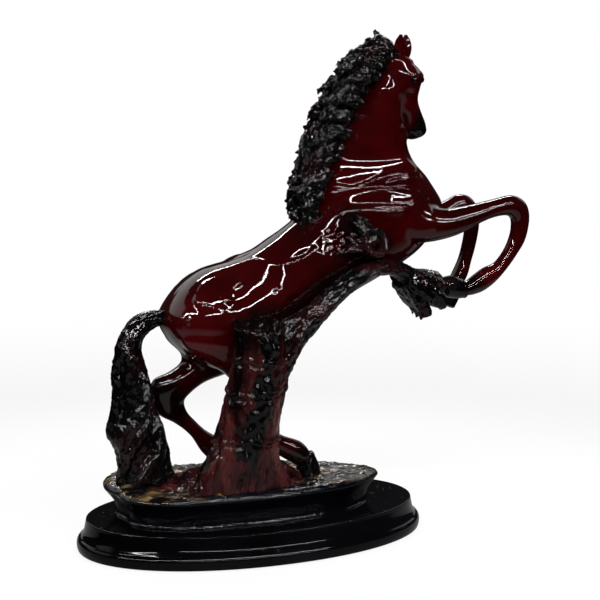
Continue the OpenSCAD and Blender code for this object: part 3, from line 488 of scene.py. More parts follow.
leftForeRows = [
    [0.46, 0.692, 0.42, 0.58, 0.2, 0.18], [0.52, 0.665, 0.49, 0.585, 0.23, 0.15],
    [0.568, 0.667, 0.56, 0.6, 0.24, 0.12], [0.608, 0.684, 0.605, 0.622, 0.24, 0.108],
    [0.646, 0.68, 0.62, 0.622, 0.24, 0.108], [0.673, 0.645, 0.63, 0.612, 0.24, 0.104],
    [0.677, 0.6, 0.636, 0.588, 0.24, 0.09], [0.669, 0.55, 0.629, 0.55, 0.24, 0.078],
    [0.656, 0.505, 0.618, 0.512, 0.24, 0.076], [0.644, 0.467, 0.603, 0.48, 0.24, 0.09],
    [0.626, 0.437, 0.588, 0.455, 0.24, 0.082]]
rightHindRows = [
    [-0.2, 0.44, -0.04, 0.49, -0.2, 0.16], [-0.218, 0.362, 0.03, 0.4, -0.25, 0.24],
    [-0.165, 0.312, 0.058, 0.345, -0.27, 0.24], [-0.108, 0.276, 0.058, 0.3, -0.28, 0.2],
    [-0.082, 0.24, 0.036, 0.262, -0.29, 0.15], [-0.088, 0.207, -0.002, 0.215, -0.29, 0.12],
    [-0.1, 0.182, -0.03, 0.172, -0.29, 0.105], [-0.097, 0.147, -0.032, 0.152, -0.3, 0.105],
    [-0.06, 0.118, -0.028, 0.165, -0.3, 0.092], [0.012, 0.072, 0.034, 0.116, -0.31, 0.076],
    [0.062, 0.04, 0.092, 0.091, -0.32, 0.092], [0.085, 0.025, 0.118, 0.06, -0.33, 0.084]]
leftHindRows = [
    [-0.2, 0.44, -0.04, 0.49, 0.2, 0.16], [-0.215, 0.36, 0.02, 0.385, 0.25, 0.24],
    [-0.172, 0.31, 0.045, 0.325, 0.27, 0.24], [-0.17, 0.285, -0.02, 0.262, 0.27, 0.19],
    [-0.203, 0.264, -0.11, 0.232, 0.26, 0.14], [-0.246, 0.248, -0.16, 0.197, 0.25, 0.115],
    [-0.256, 0.21, -0.165, 0.18, 0.25, 0.105], [-0.238, 0.162, -0.156, 0.158, 0.25, 0.095],
    [-0.19, 0.132, -0.142, 0.142, 0.25, 0.074], [-0.15, 0.098, -0.11, 0.11, 0.25, 0.072],
    [-0.122, 0.055, -0.075, 0.086, 0.25, 0.092], [-0.098, 0.03, -0.048, 0.052, 0.25, 0.084]]

skin = {"voxel": 0.0008, "rounds": 9, "slack": 0.005, "uneven": 0.00004}
# broad muscles on both flanks: start x, z, end x, z, reach to either side, rise, all shares
muscles = [
    [-0.19, 0.49, -0.026, 0.552, 0.028, 0.016], [-0.026, 0.552, 0.079, 0.632, 0.028, 0.016],
    [-0.026, 0.548, 0.138, 0.574, 0.024, 0.008], [0.069, 0.561, 0.209, 0.652, 0.026, 0.018],
    [0.209, 0.652, 0.399, 0.676, 0.024, 0.02], [0.195, 0.69, 0.418, 0.708, 0.022, 0.016],
    [0.214, 0.732, 0.41, 0.752, 0.022, 0.012], [0.24, 0.785, 0.4, 0.8, 0.03, -0.03],
    [-0.236, 0.42, -0.2, 0.475, 0.024, 0.01], [-0.17, 0.43, -0.11, 0.38, 0.07, 0.024],
    [0.08, 0.47, 0.23, 0.54, 0.06, 0.006]]
# folds on both flanks: height, reach of the steep side, then x, z along the fold with that side on the left
folds = [
    (0.0011, 0.0011, [[-0.205, 0.5], [-0.174, 0.51], [-0.112, 0.528], [-0.066, 0.54], [-0.032, 0.556],
        [0.024, 0.59], [0.071, 0.63]]),
    (0.001, 0.001, [[-0.067, 0.533], [-0.012, 0.543], [0.036, 0.536], [0.097, 0.553], [0.132, 0.581]]),
    (0.001, 0.001, [[0.06, 0.563], [0.104, 0.601], [0.141, 0.622], [0.196, 0.654], [0.262, 0.662],
        [0.346, 0.657], [0.379, 0.668]]),
    (0.0009, 0.001, [[0.185, 0.663], [0.267, 0.671], [0.376, 0.67], [0.4, 0.679]]),
    (0.001, 0.001, [[0.192, 0.67], [0.219, 0.692], [0.285, 0.71], [0.339, 0.713], [0.381, 0.715],
        [0.436, 0.695]]),
    (0.0009, 0.001, [[0.185, 0.717], [0.215, 0.722], [0.243, 0.718], [0.276, 0.729], [0.343, 0.752],
        [0.386, 0.752], [0.423, 0.753]]),
    (0.0007, 0.0009, [[0.325, 0.726], [0.36, 0.737], [0.423, 0.738]]),
    (0.0008, 0.001, [[-0.182, 0.452], [-0.178, 0.463], [-0.16, 0.488], [-0.129, 0.504], [-0.083, 0.506],
        [-0.07, 0.49]]),
    (0.0006, 0.001, [[-0.238, 0.42], [-0.227, 0.443], [-0.207, 0.471], [-0.188, 0.492]]),
    (0.0008, 0.001, [[0.373, 1], [0.362, 0.93], [0.365, 0.892], [0.372, 0.845], [0.392, 0.794],
        [0.43, 0.745]]),
    (0.0007, 0.0009, [[0.388, 0.88], [0.4, 0.819], [0.435, 0.755]]),
    (0.0007, 0.001, [[0.45, 0.69], [0.446, 0.65], [0.454, 0.608]])]
# round rises and hollows on both flanks: x, z, height, reach
lumps = [
    [-0.112, 0.464, 0.0006, 0.0024], [-0.178, 0.452, 0.0005, 0.0018], [-0.209, 0.412, 0.0005, 0.0016],
    [0.022, 0.474, 0.0003, 0.002], [-0.229, 0.47, 0.0004, 0.0024], [0.25, 0.6, 0.0008, 0.006],
    [0.18, 0.59, -0.0008, 0.005]]
# rises and hollows of the head, by its own rows: row, forward, out, height, reach
faceLumps = [
    [2.7, 0.86, 0.5, 0.0013, 0.0022], [2.1, 0.95, 0.25, 0.0005, 0.0016], [4.1, 0.72, 0.66, -0.0008, 0.002],
    [3.9, -0.45, 0.92, 0.0011, 0.006], [3.2, 0.2, 0.98, -0.0005, 0.003], [5.6, 0.3, 0.95, 0.0006, 0.003],
    [6.6, -0.55, 0.85, -0.0007, 0.003], [8, 0.66, 0.8, 0.001, 0.003], [8.1, 0.68, 0.84, -0.0024, 0.0011],
    [8.7, -0.5, 0.6, 0.0008, 0.0026], [1.4, 0.95, 0.2, 0.0007, 0.0014]]
# black paint over the lacquer, and painted shade where the branch and the knot lie against the body and
# along the mane's edge: solid within the first distance, gone at the second, strength, line
blackPaintAndShadeLines = [
    (0.0085, 0.0118, 1, [[0.447, -0.19, 0.832], [0.456, -0.19, 0.88]]),
    (0.006, 0.014, 0.9, [[-0.225, 0.25, 0.215], [-0.2, 0.25, 0.18]]),
    (0.005, 0.011, 0.9, [[0.11, -0.33, 0.045], [0.09, -0.32, 0.055]]),
    (0.005, 0.012, 0.9, [[-0.085, 0.25, 0.035], [-0.07, 0.25, 0.03]]),
    (0.004, 0.009, 0.9, [[0.565, -0.28, 0.452], [0.59, -0.28, 0.455]]),
    (0.004, 0.009, 0.9, [[0.615, 0.24, 0.445], [0.62, 0.24, 0.45]]),
    # painted shade on the belly above the branch
    (0.005, 0.014, 0.85, [[-0.03, -0.5, 0.395], [0.05, -0.5, 0.405], [0.1, -0.48, 0.43],
        [0.155, -0.46, 0.47], [0.21, -0.44, 0.51], [0.262, -0.42, 0.545]]),
    # painted shade on the chest round the knot
    (0.005, 0.012, 0.8, [[0.215, -0.44, 0.64], [0.25, -0.44, 0.58], [0.3, -0.42, 0.57]]),
    # painted shade on the neck along the mane's edge
    (0.002, 0.008, 0.65, [[0.11, -0.2, 0.64], [0.13, -0.2, 0.7], [0.17, -0.22, 0.77], [0.23, -0.25, 0.88]])]


def levelAxes(turn):
    # the ways ahead and to the left at a turn about the upright
    return np.array([math.cos(turn), math.sin(turn), 0]), np.array([-math.sin(turn), math.cos(turn), 0])


def headPoint(row, forward, out):
    # a point on the head's middle, and how far aside it goes, by shares of a row's half length and width
    r = blendRows(headRows, 181)[int(round(row*20))]
    turn = math.radians(r[6])
    middle = place([(r[0] + r[2])/2, r[4], (r[1] + r[3])/2])
    ahead, side = levelAxes(turn)
    return middle + ahead*forward*(r[0] - r[2])/2*horse["length"], side*out*r[5]*horse["width"]


def makeSkin():
    # lofts fused to one skin; then each point moves along its normal by the sum of the muscles' bells,
    # the folds, exp(-(gap/steep)^2) on their left and exp(-gap/slack) on their right, and the lumps
    solids = [closedTube(ovalGrid(rows, along, around, taper)) for rows, along, around, taper in (
        (torsoRows, 90, 72, 0), (neckRows, 60, 60, 0.3), (headRows, 50, 48, 0), (rightForeRows, 70, 36, 0),
        (leftForeRows, 70, 36, 0), (rightHindRows, 70, 36, 0), (leftHindRows, 70, 36, 0))]
    nodes = ["horse_torso", "horse_neck", "horse_head", "right_foreleg", "left_foreleg",
             "right_hind_leg", "left_hind_leg"]
    piece = meshPiece("horseSkin", solids, horseRed, nodes)
    mesh = remeshed(piece, skin["voxel"], skin["rounds"]).data
    points, normals = readPoints(mesh), readNormals(mesh)
    flat = points*[1, 0, 1]
    aside = np.abs(normals[:, 1])
    flank = smoothStep((aside - 0.1)/0.5)
    lift = np.zeros(len(points))
    for x0, z0, x1, z1, reach, rise in muscles:
        gap = toLine(flat, flankLine([[x0, z0], [x1, z1]]))[0]
        lift += rise*horse["width"]*np.exp(-(gap/reach/horse["length"])**2)*aside
    for height, steep, line in folds:
        line = flankLine(blendRows(line, 5*len(line)))
        gap, t = toLine(flat, line)
        first = np.minimum((t*(len(line) - 1)).astype(int), len(line) - 2)
        step = np.diff(line, axis=0)[first]
        left = (flat[:, 2] - line[first, 2])*step[:, 0] > (flat[:, 0] - line[first, 0])*step[:, 2]
        ends = smoothStep(t*8)*smoothStep((1 - t)*8)
        lift += height*np.where(left, np.exp(-(gap/steep)**2), np.exp(-gap/skin["slack"]))*flank*ends
    rough = 1 + 2.2*ripple(points, 0.0034, 33, 1)
    for x, z, height, reach in lumps:
        gap = np.linalg.norm(flat - flankLine([[x, z]]), axis=1)
        lift += height*np.exp(-(gap/reach)**2)*flank*rough
    for row, forward, out, height, reach in faceLumps:
        middle, side = headPoint(row, forward, out)
        for spot in (middle + side, middle - side):
            lift += height*np.exp(-(np.linalg.norm(points - spot, axis=1)/reach)**2)
    lift += skin["uneven"]*ripple(points, 0.012, 31)
    writePoints(mesh, points + normals*lift[:, None])
    # black paint at the muzzle and on the lower legs, and painted shade along the belly over the branch,
    # round the knot and along the mane's edge
    blackPaintAndShade = np.zeros(len(points))
    for inner, outer, strength, line in blackPaintAndShadeLines:
        gap = toLine(points, place(line))[0]*(1 + 0.25*ripple(points, 0.009, 32))
        blackPaintAndShade = np.maximum(blackPaintAndShade, strength*smoothStep((outer - gap)/(outer - inner)))
    paintShade(mesh, "blackPaintAndShade", blackPaintAndShade)
    dress(mesh, horseRed)
    print("horse skin:", len(mesh.polygons), "faces")


makeSkin()

ear = {"length": 0.012, "ahead": 0.0036, "apart": 0.0035, "sink": 0.0012, "tip": (0.05, 0.07, 1.05),
       "depth": 0.15, "breadth": 0.29, "bulge": [0.62, 0.88, 1.0, 0.93, 0.68, 0.2], "cup": 0.8}


def makeEar(name, side, node):
    # leaf rings up the ear: breadth cos a along the head, depth sin a outwards, cut back into a cup there
    row = headRows[1]
    ahead, left = levelAxes(math.radians(row[6]))
    out = side*left
    root = place([(row[0] + row[2])/2, row[4], (row[1] + row[3])/2])
    root = root + ahead*ear["ahead"] + out*ear["apart"] - np.array([0, 0, ear["sink"]])
    reach = (ahead*ear["tip"][0] + out*ear["tip"][1] + np.array([0, 0, ear["tip"][2]]))*ear["length"]
    bulge = blendRows(np.array(ear["bulge"])[:, None], 26)[:, 0][:, None, None]*ear["length"]
    a = ringAngles(40)[None, :, None]
    t = np.linspace(0, 1, 26)[:, None, None]
    cup = 1 - ear["cup"]*np.maximum(np.sin(a), 0)**1.5*np.sin(math.pi*t)**0.5*(1 + 0.6*np.sin(a))
    grid = root + reach*t + bulge*(ahead*ear["breadth"]*np.cos(a) + out*ear["depth"]*np.sin(a)*cup)
    piece = meshPiece(name, [closedTube(grid)], horseRed, [node])
    paintShade(piece.data, "blackPaintAndShade", np.zeros(len(piece.data.vertices)))


makeEar("rightEar", -1, "right_ear")
makeEar("leftEar", 1, "left_ear")

hoof = {"hair": 0.004, "toe": 0.028, "spread": (1.12, 1.35)}
rightForeHoofRows = [
    [0.564, 0.426, 0.556, 0.474, -0.28, 0.094], [0.536, 0.425, 0.526, 0.486, -0.28, 0.108],
    [0.506, 0.43, 0.494, 0.482, -0.28, 0.116]]
leftForeHoofRows = [
    [0.63, 0.433, 0.584, 0.457, 0.24, 0.092], [0.618, 0.405, 0.563, 0.43, 0.24, 0.104],
    [0.602, 0.378, 0.546, 0.402, 0.24, 0.112]]


def hairline(t):
    # a bell of 5% close under the hair
    return 1 + 0.05*np.exp(-((t - 0.08)/0.07)**2)


def makeForeHoof(name, rows, node):
    # a loft with a band at the hairline and a rounded sole
    def band(t, a):
        return hairline(t) - 0.1*smoothStep((t - 0.93)/0.07)
    meshPiece(name, [closedTube(ovalGrid(rows, 36, 40, 0, band))], hoofBlack, [node])


def makeHindHoof(name, rows, node):
    # rings blended from the hairline to a flat sole, the middle pushed towards the toe
    low = rows[-1]
    h = hoof["hair"]
    hairRow = [low[0] - h, low[1] - h, low[2] + h, low[3] + h, low[4], low[5]*hoof["spread"][0]]
    hair = ovalGrid([hairRow, hairRow], 2, 40)[0]
    a = ringAngles(40)[:, None]
    heel, toe = place([low[0], low[4], 0]), place([low[2] + hoof["toe"], low[4], 0])
    sole = (heel + toe)/2 + (heel - toe)/2*np.cos(a) \
        + np.array([0, low[5]*horse["width"]*hoof["spread"][1], 0])*np.sin(a)
    t = np.linspace(0, 1, 24)[:, None, None]
    grid = hair*(1 - t) + sole*t + np.array([h*horse["length"], 0, 0])*4*t*(1 - t)
    middle = grid.mean(1, keepdims=True)
    grid = middle + (grid - middle)*hairline(t)
    grid[-1, :, 2] = groundZ
    meshPiece(name, [closedTube(grid)], hoofBlack, [node])


makeForeHoof("rightForeHoof", rightForeHoofRows, "right_fore_hoof")
makeForeHoof("leftForeHoof", leftForeHoofRows, "left_fore_hoof")
makeHindHoof("rightHindHoof", rightHindRows, "right_hind_hoof")
makeHindHoof("leftHindHoof", leftHindRows, "left_hind_hoof")
print("ears and hooves made")


crest = [[0.125, 0.64], [0.145, 0.705], [0.172, 0.77], [0.198, 0.83], [0.228, 0.895],
         [0.262, 0.96], [0.302, 1.02], [0.35, 1.06]]
maneEdge = [[0.108, 0.648], [0.092, 0.712], [0.1, 0.775], [0.116, 0.845], [0.139, 0.914],
            [0.165, 0.982], [0.205, 1.044], [0.28, 1.088]]
# curlSets: how many, how far out from the crest they may start, and their thickness
mane = {"curlSets": [(39, 0.0, 1.3), (170, 0.62, 0.7)],
        "thick": 0.003, "tip": 0.001, "droop": 0.05, "wave": 0.0014, "voxel": 0.00056, "lean": -0.12,
        "side": 0.2, "forward": 0.034, "hook": 0.0026, "seed": 11,
        "carving": [(0.0052, 0.0009, 0.8), (0.0028, 0.00045, 0.8), (0.0015, 0.00012, 1)]}


def lockGrid(root, tip, rise, thick, thin, wave, phase, around=9, count=16, hook=0.0):
    # a parabola with a wave and a downward hook that grow towards the tip; three-lobed section that twists
    path = curl(root, (root + tip)/2 + rise, tip, count)
    t = np.linspace(0, 1, count)[:, None]
    path = path + np.sin(t*7 + phase)*t*wave*np.array([0.3, 0.8, 1.0]) - np.array([-0.3, 0, 1.0])*hook*t**4
    t = t[:, 0]
    radii = (thin + (thick - thin)*(1 - t**1.6))*(0.7 + 0.3*np.sin(math.pi*np.clip(t*1.3, 0, 1)))
    return tubeGrid(path, radii, around, 0.85, 3, 0.18, 6 + phase)


def makeMane():
    # locks from the crest to the edge, three side by side, and short curls that lie over them
    rng = np.random.default_rng(mane["seed"])
    steps = 200
    c, e = blendRows(crest, steps), blendRows(maneEdge, steps)
    middle = c*0.55 + e*0.45
    core = [[*middle[i], c[i, 0] + 0.03, c[i, 1], mane["lean"]*i/(steps - 1), 0.15]
            for i in range(0, steps, 28)]
    solids = [closedTube(ovalGrid(core, 60, 20))]
    for count, inside, size in mane["curlSets"]:
        t = np.clip(np.linspace(0.01, 0.99, count) + rng.normal(size=count)*0.012, 0, 1)
        s = rng.uniform(-1, 1, count)
        if not inside:
            t = (np.arange(count)//3 + 0.5 + 0.12*rng.normal(size=count))/(count//3)
            s = np.tile([-0.75, 0.0, 0.75], count//3)
        at = (t*(steps - 1)).astype(int)
        reach = (0.97 if inside else 1.17) - 0.2*np.abs(s) - 0.1*rng.uniform(0, 1, count)
        begin = rng.uniform(0, 1, count)*inside
        end = np.minimum(begin + rng.uniform(0.42, 0.62, count), 1.0) if inside else np.ones(count)
        back = (e[at] - c[at])*reach[:, None]
        start = mane["forward"]*np.abs(s)*rng.uniform(0.5, 1, count)*(1 - begin) + 0.004
        y = mane["lean"]*t + mane["side"]*s
        drop = mane["droop"]*rng.uniform(0.3, 0.9, count)*(end - begin)
        (x, z), (outX, outZ) = c[at].T, back.T
        roots = place(np.stack([x + start + outX*begin, y, z + outZ*begin - start*0.35], 1))
        tips = place(np.stack([x + outX*end, y - 0.03*s, z + outZ*end - drop], 1))
        for root, tip, aside in zip(roots, tips, s):
            rise = np.array([0, horse["width"]*0.07*aside, horse["height"]*(0.014 + 0.014*rng.uniform())])
            thick, thin = mane["thick"]*size*rng.uniform(0.8, 1.15), max(mane["tip"]*size, 0.0008)
            grid = lockGrid(root, tip, rise, thick, thin, mane["wave"], rng.uniform(0, 6.3),
                            hook=mane["hook"]*size)
            solids.append(closedTube(grid))
    piece = fusedPiece("maneLocks", solids, hairBlack, ["mane"], mane["voxel"],
                       mane["carving"], 40)
    print("mane:", len(piece.data.polygons), "faces")


forelock = {"root": [0.35, -0.16, 1.045], "rise": 0.0052, "thick": 0.0036, "thin": 0.0013, "wave": 0.0012,
            "tips": [[0.288, -0.2, 1.086], [0.318, -0.08, 1.108], [0.372, -0.3, 1.035],
                     [0.392, -0.06, 1.052], [0.304, -0.14, 1.1], [0.33, -0.26, 1.085],
                     [0.36, -0.1, 1.075], [0.296, -0.24, 1.078]]}


def makeForelock():
    # locks that spring from one root between the ears
    lock, root = forelock, place(forelock["root"])
    rise = np.array([0, 0, lock["rise"]])
    solids = []
    for i, tip in enumerate(place(lock["tips"])):
        grid = lockGrid(root, tip, rise, lock["thick"], lock["thin"], lock["wave"], 1.3*i, 12, 22, 0.0016)
        solids.append(closedTube(grid))
    fusedPiece("forelockCurls", solids, hairBlack, ["forelock"], mane["voxel"],
               mane["carving"], 45, lambda points: 0.7)


tailRows = [
    [-0.205, 0.424, -0.215, 0.388, 0, 0.09], [-0.25, 0.431, -0.252, 0.393, 0.02, 0.1],
    [-0.298, 0.42, -0.278, 0.38, 0.03, 0.115], [-0.335, 0.387, -0.291, 0.357, 0.04, 0.135],
    [-0.357, 0.34, -0.294, 0.32, 0.05, 0.155], [-0.361, 0.288, -0.286, 0.275, 0.06, 0.165],
    [-0.363, 0.23, -0.269, 0.225, 0.06, 0.175], [-0.368, 0.175, -0.259, 0.175, 0.06, 0.19],
    [-0.378, 0.132, -0.241, 0.13, 0.06, 0.205], [-0.358, 0.09, -0.229, 0.09, 0.06, 0.2],
    [-0.352, 0.045, -0.231, 0.045, 0.06, 0.2], [-0.352, 0, -0.215, 0, 0.06, 0.22]]
tailHair = {"strands": 13, "twist": 3.4, "voxel": 0.0006, "sheath": 0.84, "depth": 0.84, "thick": 0.28,
            "carving": [(0.006, 0.0006, 0.4), (0.0028, 0.00034, 0.6)], "smoothAbove": 0.124}


def makeTail():
    # each strand follows the tail's own ovals at an angle that turns slowly on the way down
    rng = np.random.default_rng(5)
    count, sides = 80, 90
    rows = np.arange(count)
    t = np.linspace(0, 1, count)
    sheet = ovalGrid(tailRows, count, sides)
    middle = sheet.mean(1)
    breadth = np.linalg.norm(sheet - middle[:, None], axis=-1).mean(1)
    solids = [closedTube(ovalGrid(tailRows, count, 40, 0, lambda t, a: tailHair["sheath"] + 0*a))]
    for k in range(tailHair["strands"]):
        turn = tailHair["twist"]*t**1.3 + 0.5*np.sin(6*t + rng.uniform(0, 6))
        angle = sides*k/tailHair["strands"] + sides/6.28*turn
        low, part = angle.astype(int), (angle % 1)[:, None]
        edge = sheet[rows, low % sides]*(1 - part) + sheet[rows, (low + 1) % sides]*part
        path = middle + (edge - middle)*tailHair["depth"]
        radii = breadth*tailHair["thick"]*(1 + 0.25*np.sin(13*t + k*2.1))*(0.45 + 0.55*smoothStep(t*5))
        solids.append(closedTube(tubeGrid(path, radii, 12, 1, 3, 0.16, 14)))
    piece = fusedPiece("tailStrands", solids, hairBlack, ["tail"], tailHair["voxel"],
                       tailHair["carving"], 50,
                       lambda points: smoothStep((tailHair["smoothAbove"] - points[:, 2])/0.03))
    standOnGround(piece.data, readPoints(piece.data))
    print("tail:", len(piece.data.polygons), "faces")


makeMane()
makeForelock()
makeTail()


trunkRows = [
    [-0.225, 0.055, 0, -0.49, 0.255], [-0.208, 0.032, 0.025, -0.52, 0.245],
    [-0.188, 0.008, 0.065, -0.55, 0.245], [-0.167, 0, 0.11, -0.57, 0.25], [-0.154, 0, 0.155, -0.59, 0.252],
    [-0.142, 0.004, 0.2, -0.61, 0.255], [-0.131, 0.014, 0.25, -0.63, 0.258],
    [-0.124, 0.016, 0.3, -0.65, 0.262], [-0.1165, 0.0085, 0.345, -0.67, 0.25],
    [-0.1165, 0.0085, 0.425, -0.67, 0.25]]
trunk = {"ridge": 0.035, "slope": math.radians(14), "top": [-0.054, -0.67, 0.408], "voxel": 0.00066,
         "rings": [0.324, 0.248, 0.128], "bark": [(0.0054, 0.00065, 0.16), (0.0027, 0.00036, 0.3)],
         # the black lacquered patch: x, z down its middle, and its half width
         "patch": [[-0.056, 0.4], [-0.052, 0.34], [-0.06, 0.28], [-0.07, 0.215], [-0.088, 0.15],
                   [-0.104, 0.1]], "patchHalf": 0.0044, "blackFrom": 0.335,
         "paintLump": 0.0007, "rootRadii": (0.006, 0.002),
         # x, y of each root's end, and its height at the trunk
         "roots": [[-0.238, -0.05, 0.045], [-0.25, -0.4, 0.03], [0.085, -0.36, 0.03]]}


def makeTrunk():
    # side rows are ovals, swollen by bark ridges that wander with height; top rows shrink to the middle
    rows = blendRows(trunkRows, 130)
    a = ringAngles(160)[None, :]
    left, right, z, y, depth = (rows[:, k:k + 1] for k in range(5))
    wander = 0.8*np.sin(z*11 + 1) + 0.35*np.sin(z*31 + 2*a)
    ridges = np.abs(np.cos(4.5*a + wander*2)) + 0.55*np.abs(np.cos(8.5*a - wander*3 + 1)) \
        + 0.3*np.abs(np.cos(17*a + z*60)) - 1.0
    swell = 1 + trunk["ridge"]*ridges
    for height in trunk["rings"]:       # a raised welt round the bole with a crack under it
        level = z - height - 0.006*np.sin(2*a + height*40) - 0.003*np.sin(7*a)
        swell = swell + 0.05*np.exp(-(level/0.006)**2) - 0.06*np.exp(-((level + 0.01)/0.004)**2)
    x = (left + right)/2 + (right - left)/2*np.cos(a)*swell
    grid = place(np.stack([x, y + depth*np.sin(a)*swell, z + 0*a], -1))
    top = place(trunk["top"])
    steep = math.tan(trunk["slope"])
    grid[..., 2] = np.minimum(grid[..., 2], top[2] + (grid[..., 1] - top[1])*steep)     # the saw cut
    t = np.linspace(0, 1, 22)[1:-1, None, None]
    disc = grid[-1]*(1 - t) + top*t
    t = t[..., 0]
    growth = 0.0006*np.cos(t*34 + 2*np.sin(a*2)) + 0.0007*np.sin(5*a + t*9)*(1 - t)
    disc[..., 2] = top[2] + (disc[..., 1] - top[1])*steep + growth - 0.0006*t
    solids = [closedTube(np.concatenate([grid, disc]))]
    foot, radii = place([trunk["top"][0], trunkRows[0][3], 0]), np.linspace(*trunk["rootRadii"], 30)
    for x, y, height in trunk["roots"]:
        tip = place([x, y, 0])
        start = foot + (tip - foot)*0.4
        height = height*horse["height"]
        root = np.array([start[0], foot[1], groundZ + height])
        path = curl(root, (root + tip)/2 + np.array([0, 0, height/3]), tip, 30)
        solids.append(closedTube(tubeGrid(path, radii, 20, 1, 3, 0.15, 4)))
    piece = fusedPiece("barkTrunk", solids, barkRed, ["tree_trunk"], trunk["voxel"],
                       trunk["bark"], 60)
    points, normals = readPoints(piece.data), readNormals(piece.data)
    # black paint: a lumpy patch down the front of the bole, its top, its right side and here and there
    gap = toLine(points*[1, 0, 1], flankLine(trunk["patch"]))[0]
    patch = smoothStep((trunk["patchHalf"]*(1.3 + 0.9*ripple(points, 0.014, 63)) - gap)/0.0025)
    patch = patch*smoothStep(-normals[:, 1]*3)
    bumps = patch*trunk["paintLump"]*(0.4 + 2.4*ripple(points*[1, 1, 0.85], 0.0046, 64, 1))
    points = points + normals*bumps[:, None]
    standOnGround(piece.data, points)
    above = points - place([0, 0, 0])
    top = above[:, 2] - trunk["blackFrom"]*horse["height"]
    blackPaintAndShade = np.maximum(patch, smoothStep((top + 0.004*ripple(points, 0.012, 65))/0.01)*0.92)
    blackPaintAndShade = np.maximum(blackPaintAndShade, 0.9*smoothStep(ripple(points, 0.02, 3)*2.4 - 0.75))
    blackPaintAndShade = np.maximum(blackPaintAndShade, 0.8*smoothStep(above[:, 0]/0.004)*smoothStep((above[:, 2] - 0.02)/0.01))
    skirt = smoothStep((0.007 - above[:, 2] + 0.01*ripple(points, 0.015, 66))/0.01)
    paintShade(piece.data, "blackPaintAndShade", np.clip(blackPaintAndShade*(1 - 0.8*skirt), 0, 1))
    paintShade(piece.data, "rust", np.clip(skirt*(0.45 + 1.3*ripple(points, 0.006, 67)), 0, 0.8))
    print("trunk:", len(piece.data.polygons), "faces")


branchRows = [
    [-0.035, 0.4, -0.005, 0.225, -0.63, 0.14], [0.005, 0.414, 0.028, 0.28, -0.62, 0.145],
    [0.045, 0.424, 0.057, 0.334, -0.6, 0.145], [0.1, 0.454, 0.098, 0.376, -0.57, 0.13],
    [0.155, 0.493, 0.146, 0.421, -0.55, 0.118], [0.21, 0.524, 0.203, 0.466, -0.53, 0.11],
    [0.265, 0.541, 0.266, 0.5, -0.5, 0.1], [0.315, 0.543, 0.318, 0.501, -0.46, 0.098],
    [0.36, 0.532, 0.351, 0.487, -0.41, 0.11], [0.402, 0.515, 0.377, 0.458, -0.34, 0.135]]
branchBark = [(0.005, 0.00045, 0.8), (0.0026, 0.00026, 1)]


def makeBranch():
    # oval rows with bark ridges that wind slowly round
    def bark(t, a):
        return 1 + 0.07*np.abs(np.cos(3*a + 5*t)) + 0.03*np.cos(9*a - 20*t) - 0.06
    solids = [closedTube(ovalGrid(branchRows, 260, 96, 0, bark))]
    carved(meshPiece("bareBranch", solids, woodBlack, ["tree_branch"]), branchBark, 70)


# x, z, y of a finger's end, and y of its start
tipFingers = [
    [0.436, 0.39, -0.4, -0.4], [0.448, 0.394, -0.2, -0.34], [0.484, 0.416, -0.42, -0.4],
    [0.494, 0.42, -0.22, -0.34], [0.498, 0.458, -0.32, -0.38], [0.52, 0.446, -0.08, -0.3],
    [0.458, 0.4, 0, -0.28], [0.515, 0.432, 0.06, -0.26], [0.54, 0.466, 0.14, -0.24]]
frayed = {"splinters": 16, "splinterRadii": (0.0022, 0.0007), "thick": 0.066, "flare": 0.039,
          "voxel": 0.0006, "carving": [(0.0048, 0.0004, 0.5), (0.0025, 0.00022, 0.6)]}


def makeTip():
    # curled fingers that taper by t^0.7, and thin splinters between them
    rng = np.random.default_rng(8)
    radii = horse["width"]*(frayed["thick"] + frayed["flare"]*(1 - np.linspace(0, 1, 40))**0.7)
    solids = []
    for i, (x, z, y, startY) in enumerate(tipFingers):
        root, end = place([0.375, startY, 0.485]), place([x, y, z])
        sway = np.array([0, 0.002*math.sin(i*2), 0.003*math.cos(i*3)])
        path = curl(root, (root + end)/2 + sway, end, 40)
        solids.append(closedTube(tubeGrid(path, radii, 24, 1, 4, 0.13, 5)))
    thin = np.linspace(*frayed["splinterRadii"], 24)
    for i in range(frayed["splinters"]):
        x, z, y, startY = tipFingers[i % len(tipFingers)]
        root = place([0.385 + 0.03*rng.uniform(), startY + rng.uniform(-0.05, 0.05), 0.48])
        stray = [rng.uniform(-0.025, 0.004), rng.uniform(-0.05, 0.05), rng.uniform(-0.02, 0.01)]
        end = place(np.array([x, y, z]) + stray)
        path = curl(root, (root + end)/2 + rng.normal(size=3)*0.0015, end, 24)
        solids.append(closedTube(tubeGrid(path, thin, 10, 1, 3, 0.15, 6)))
    fusedPiece("frayedTip", solids, woodBlack, ["branch_tip"], frayed["voxel"],
               frayed["carving"], 85)


knot = {"place": [0.268, -0.6, 0.59], "size": 0.015, "bore": 0.008, "lean": (72, 12), "voxel": 0.00055,
        # radius and height along the axis, as shares of the half size, from the back round the rim
        "rim": [[0.62, -3.2], [0.66, -2], [0.78, -1], [0.96, -0.35], [1, -0.1], [0.88, 0.1], [0.66, 0.02]],
        "strands": [[0.212, -0.43, 0.645], [0.2, -0.44, 0.605], [0.168, -0.45, 0.562], [0.25, -0.42, 0.655],
                    [0.19, -0.44, 0.585], [0.228, -0.43, 0.655], [0.222, -0.44, 0.628]],
        "strandsBehind": 0.004, "strandRadii": (0.0034, 0.0008),
        "carving": [(0.0046, 0.00045, 1), (0.0024, 0.00022, 1)]}


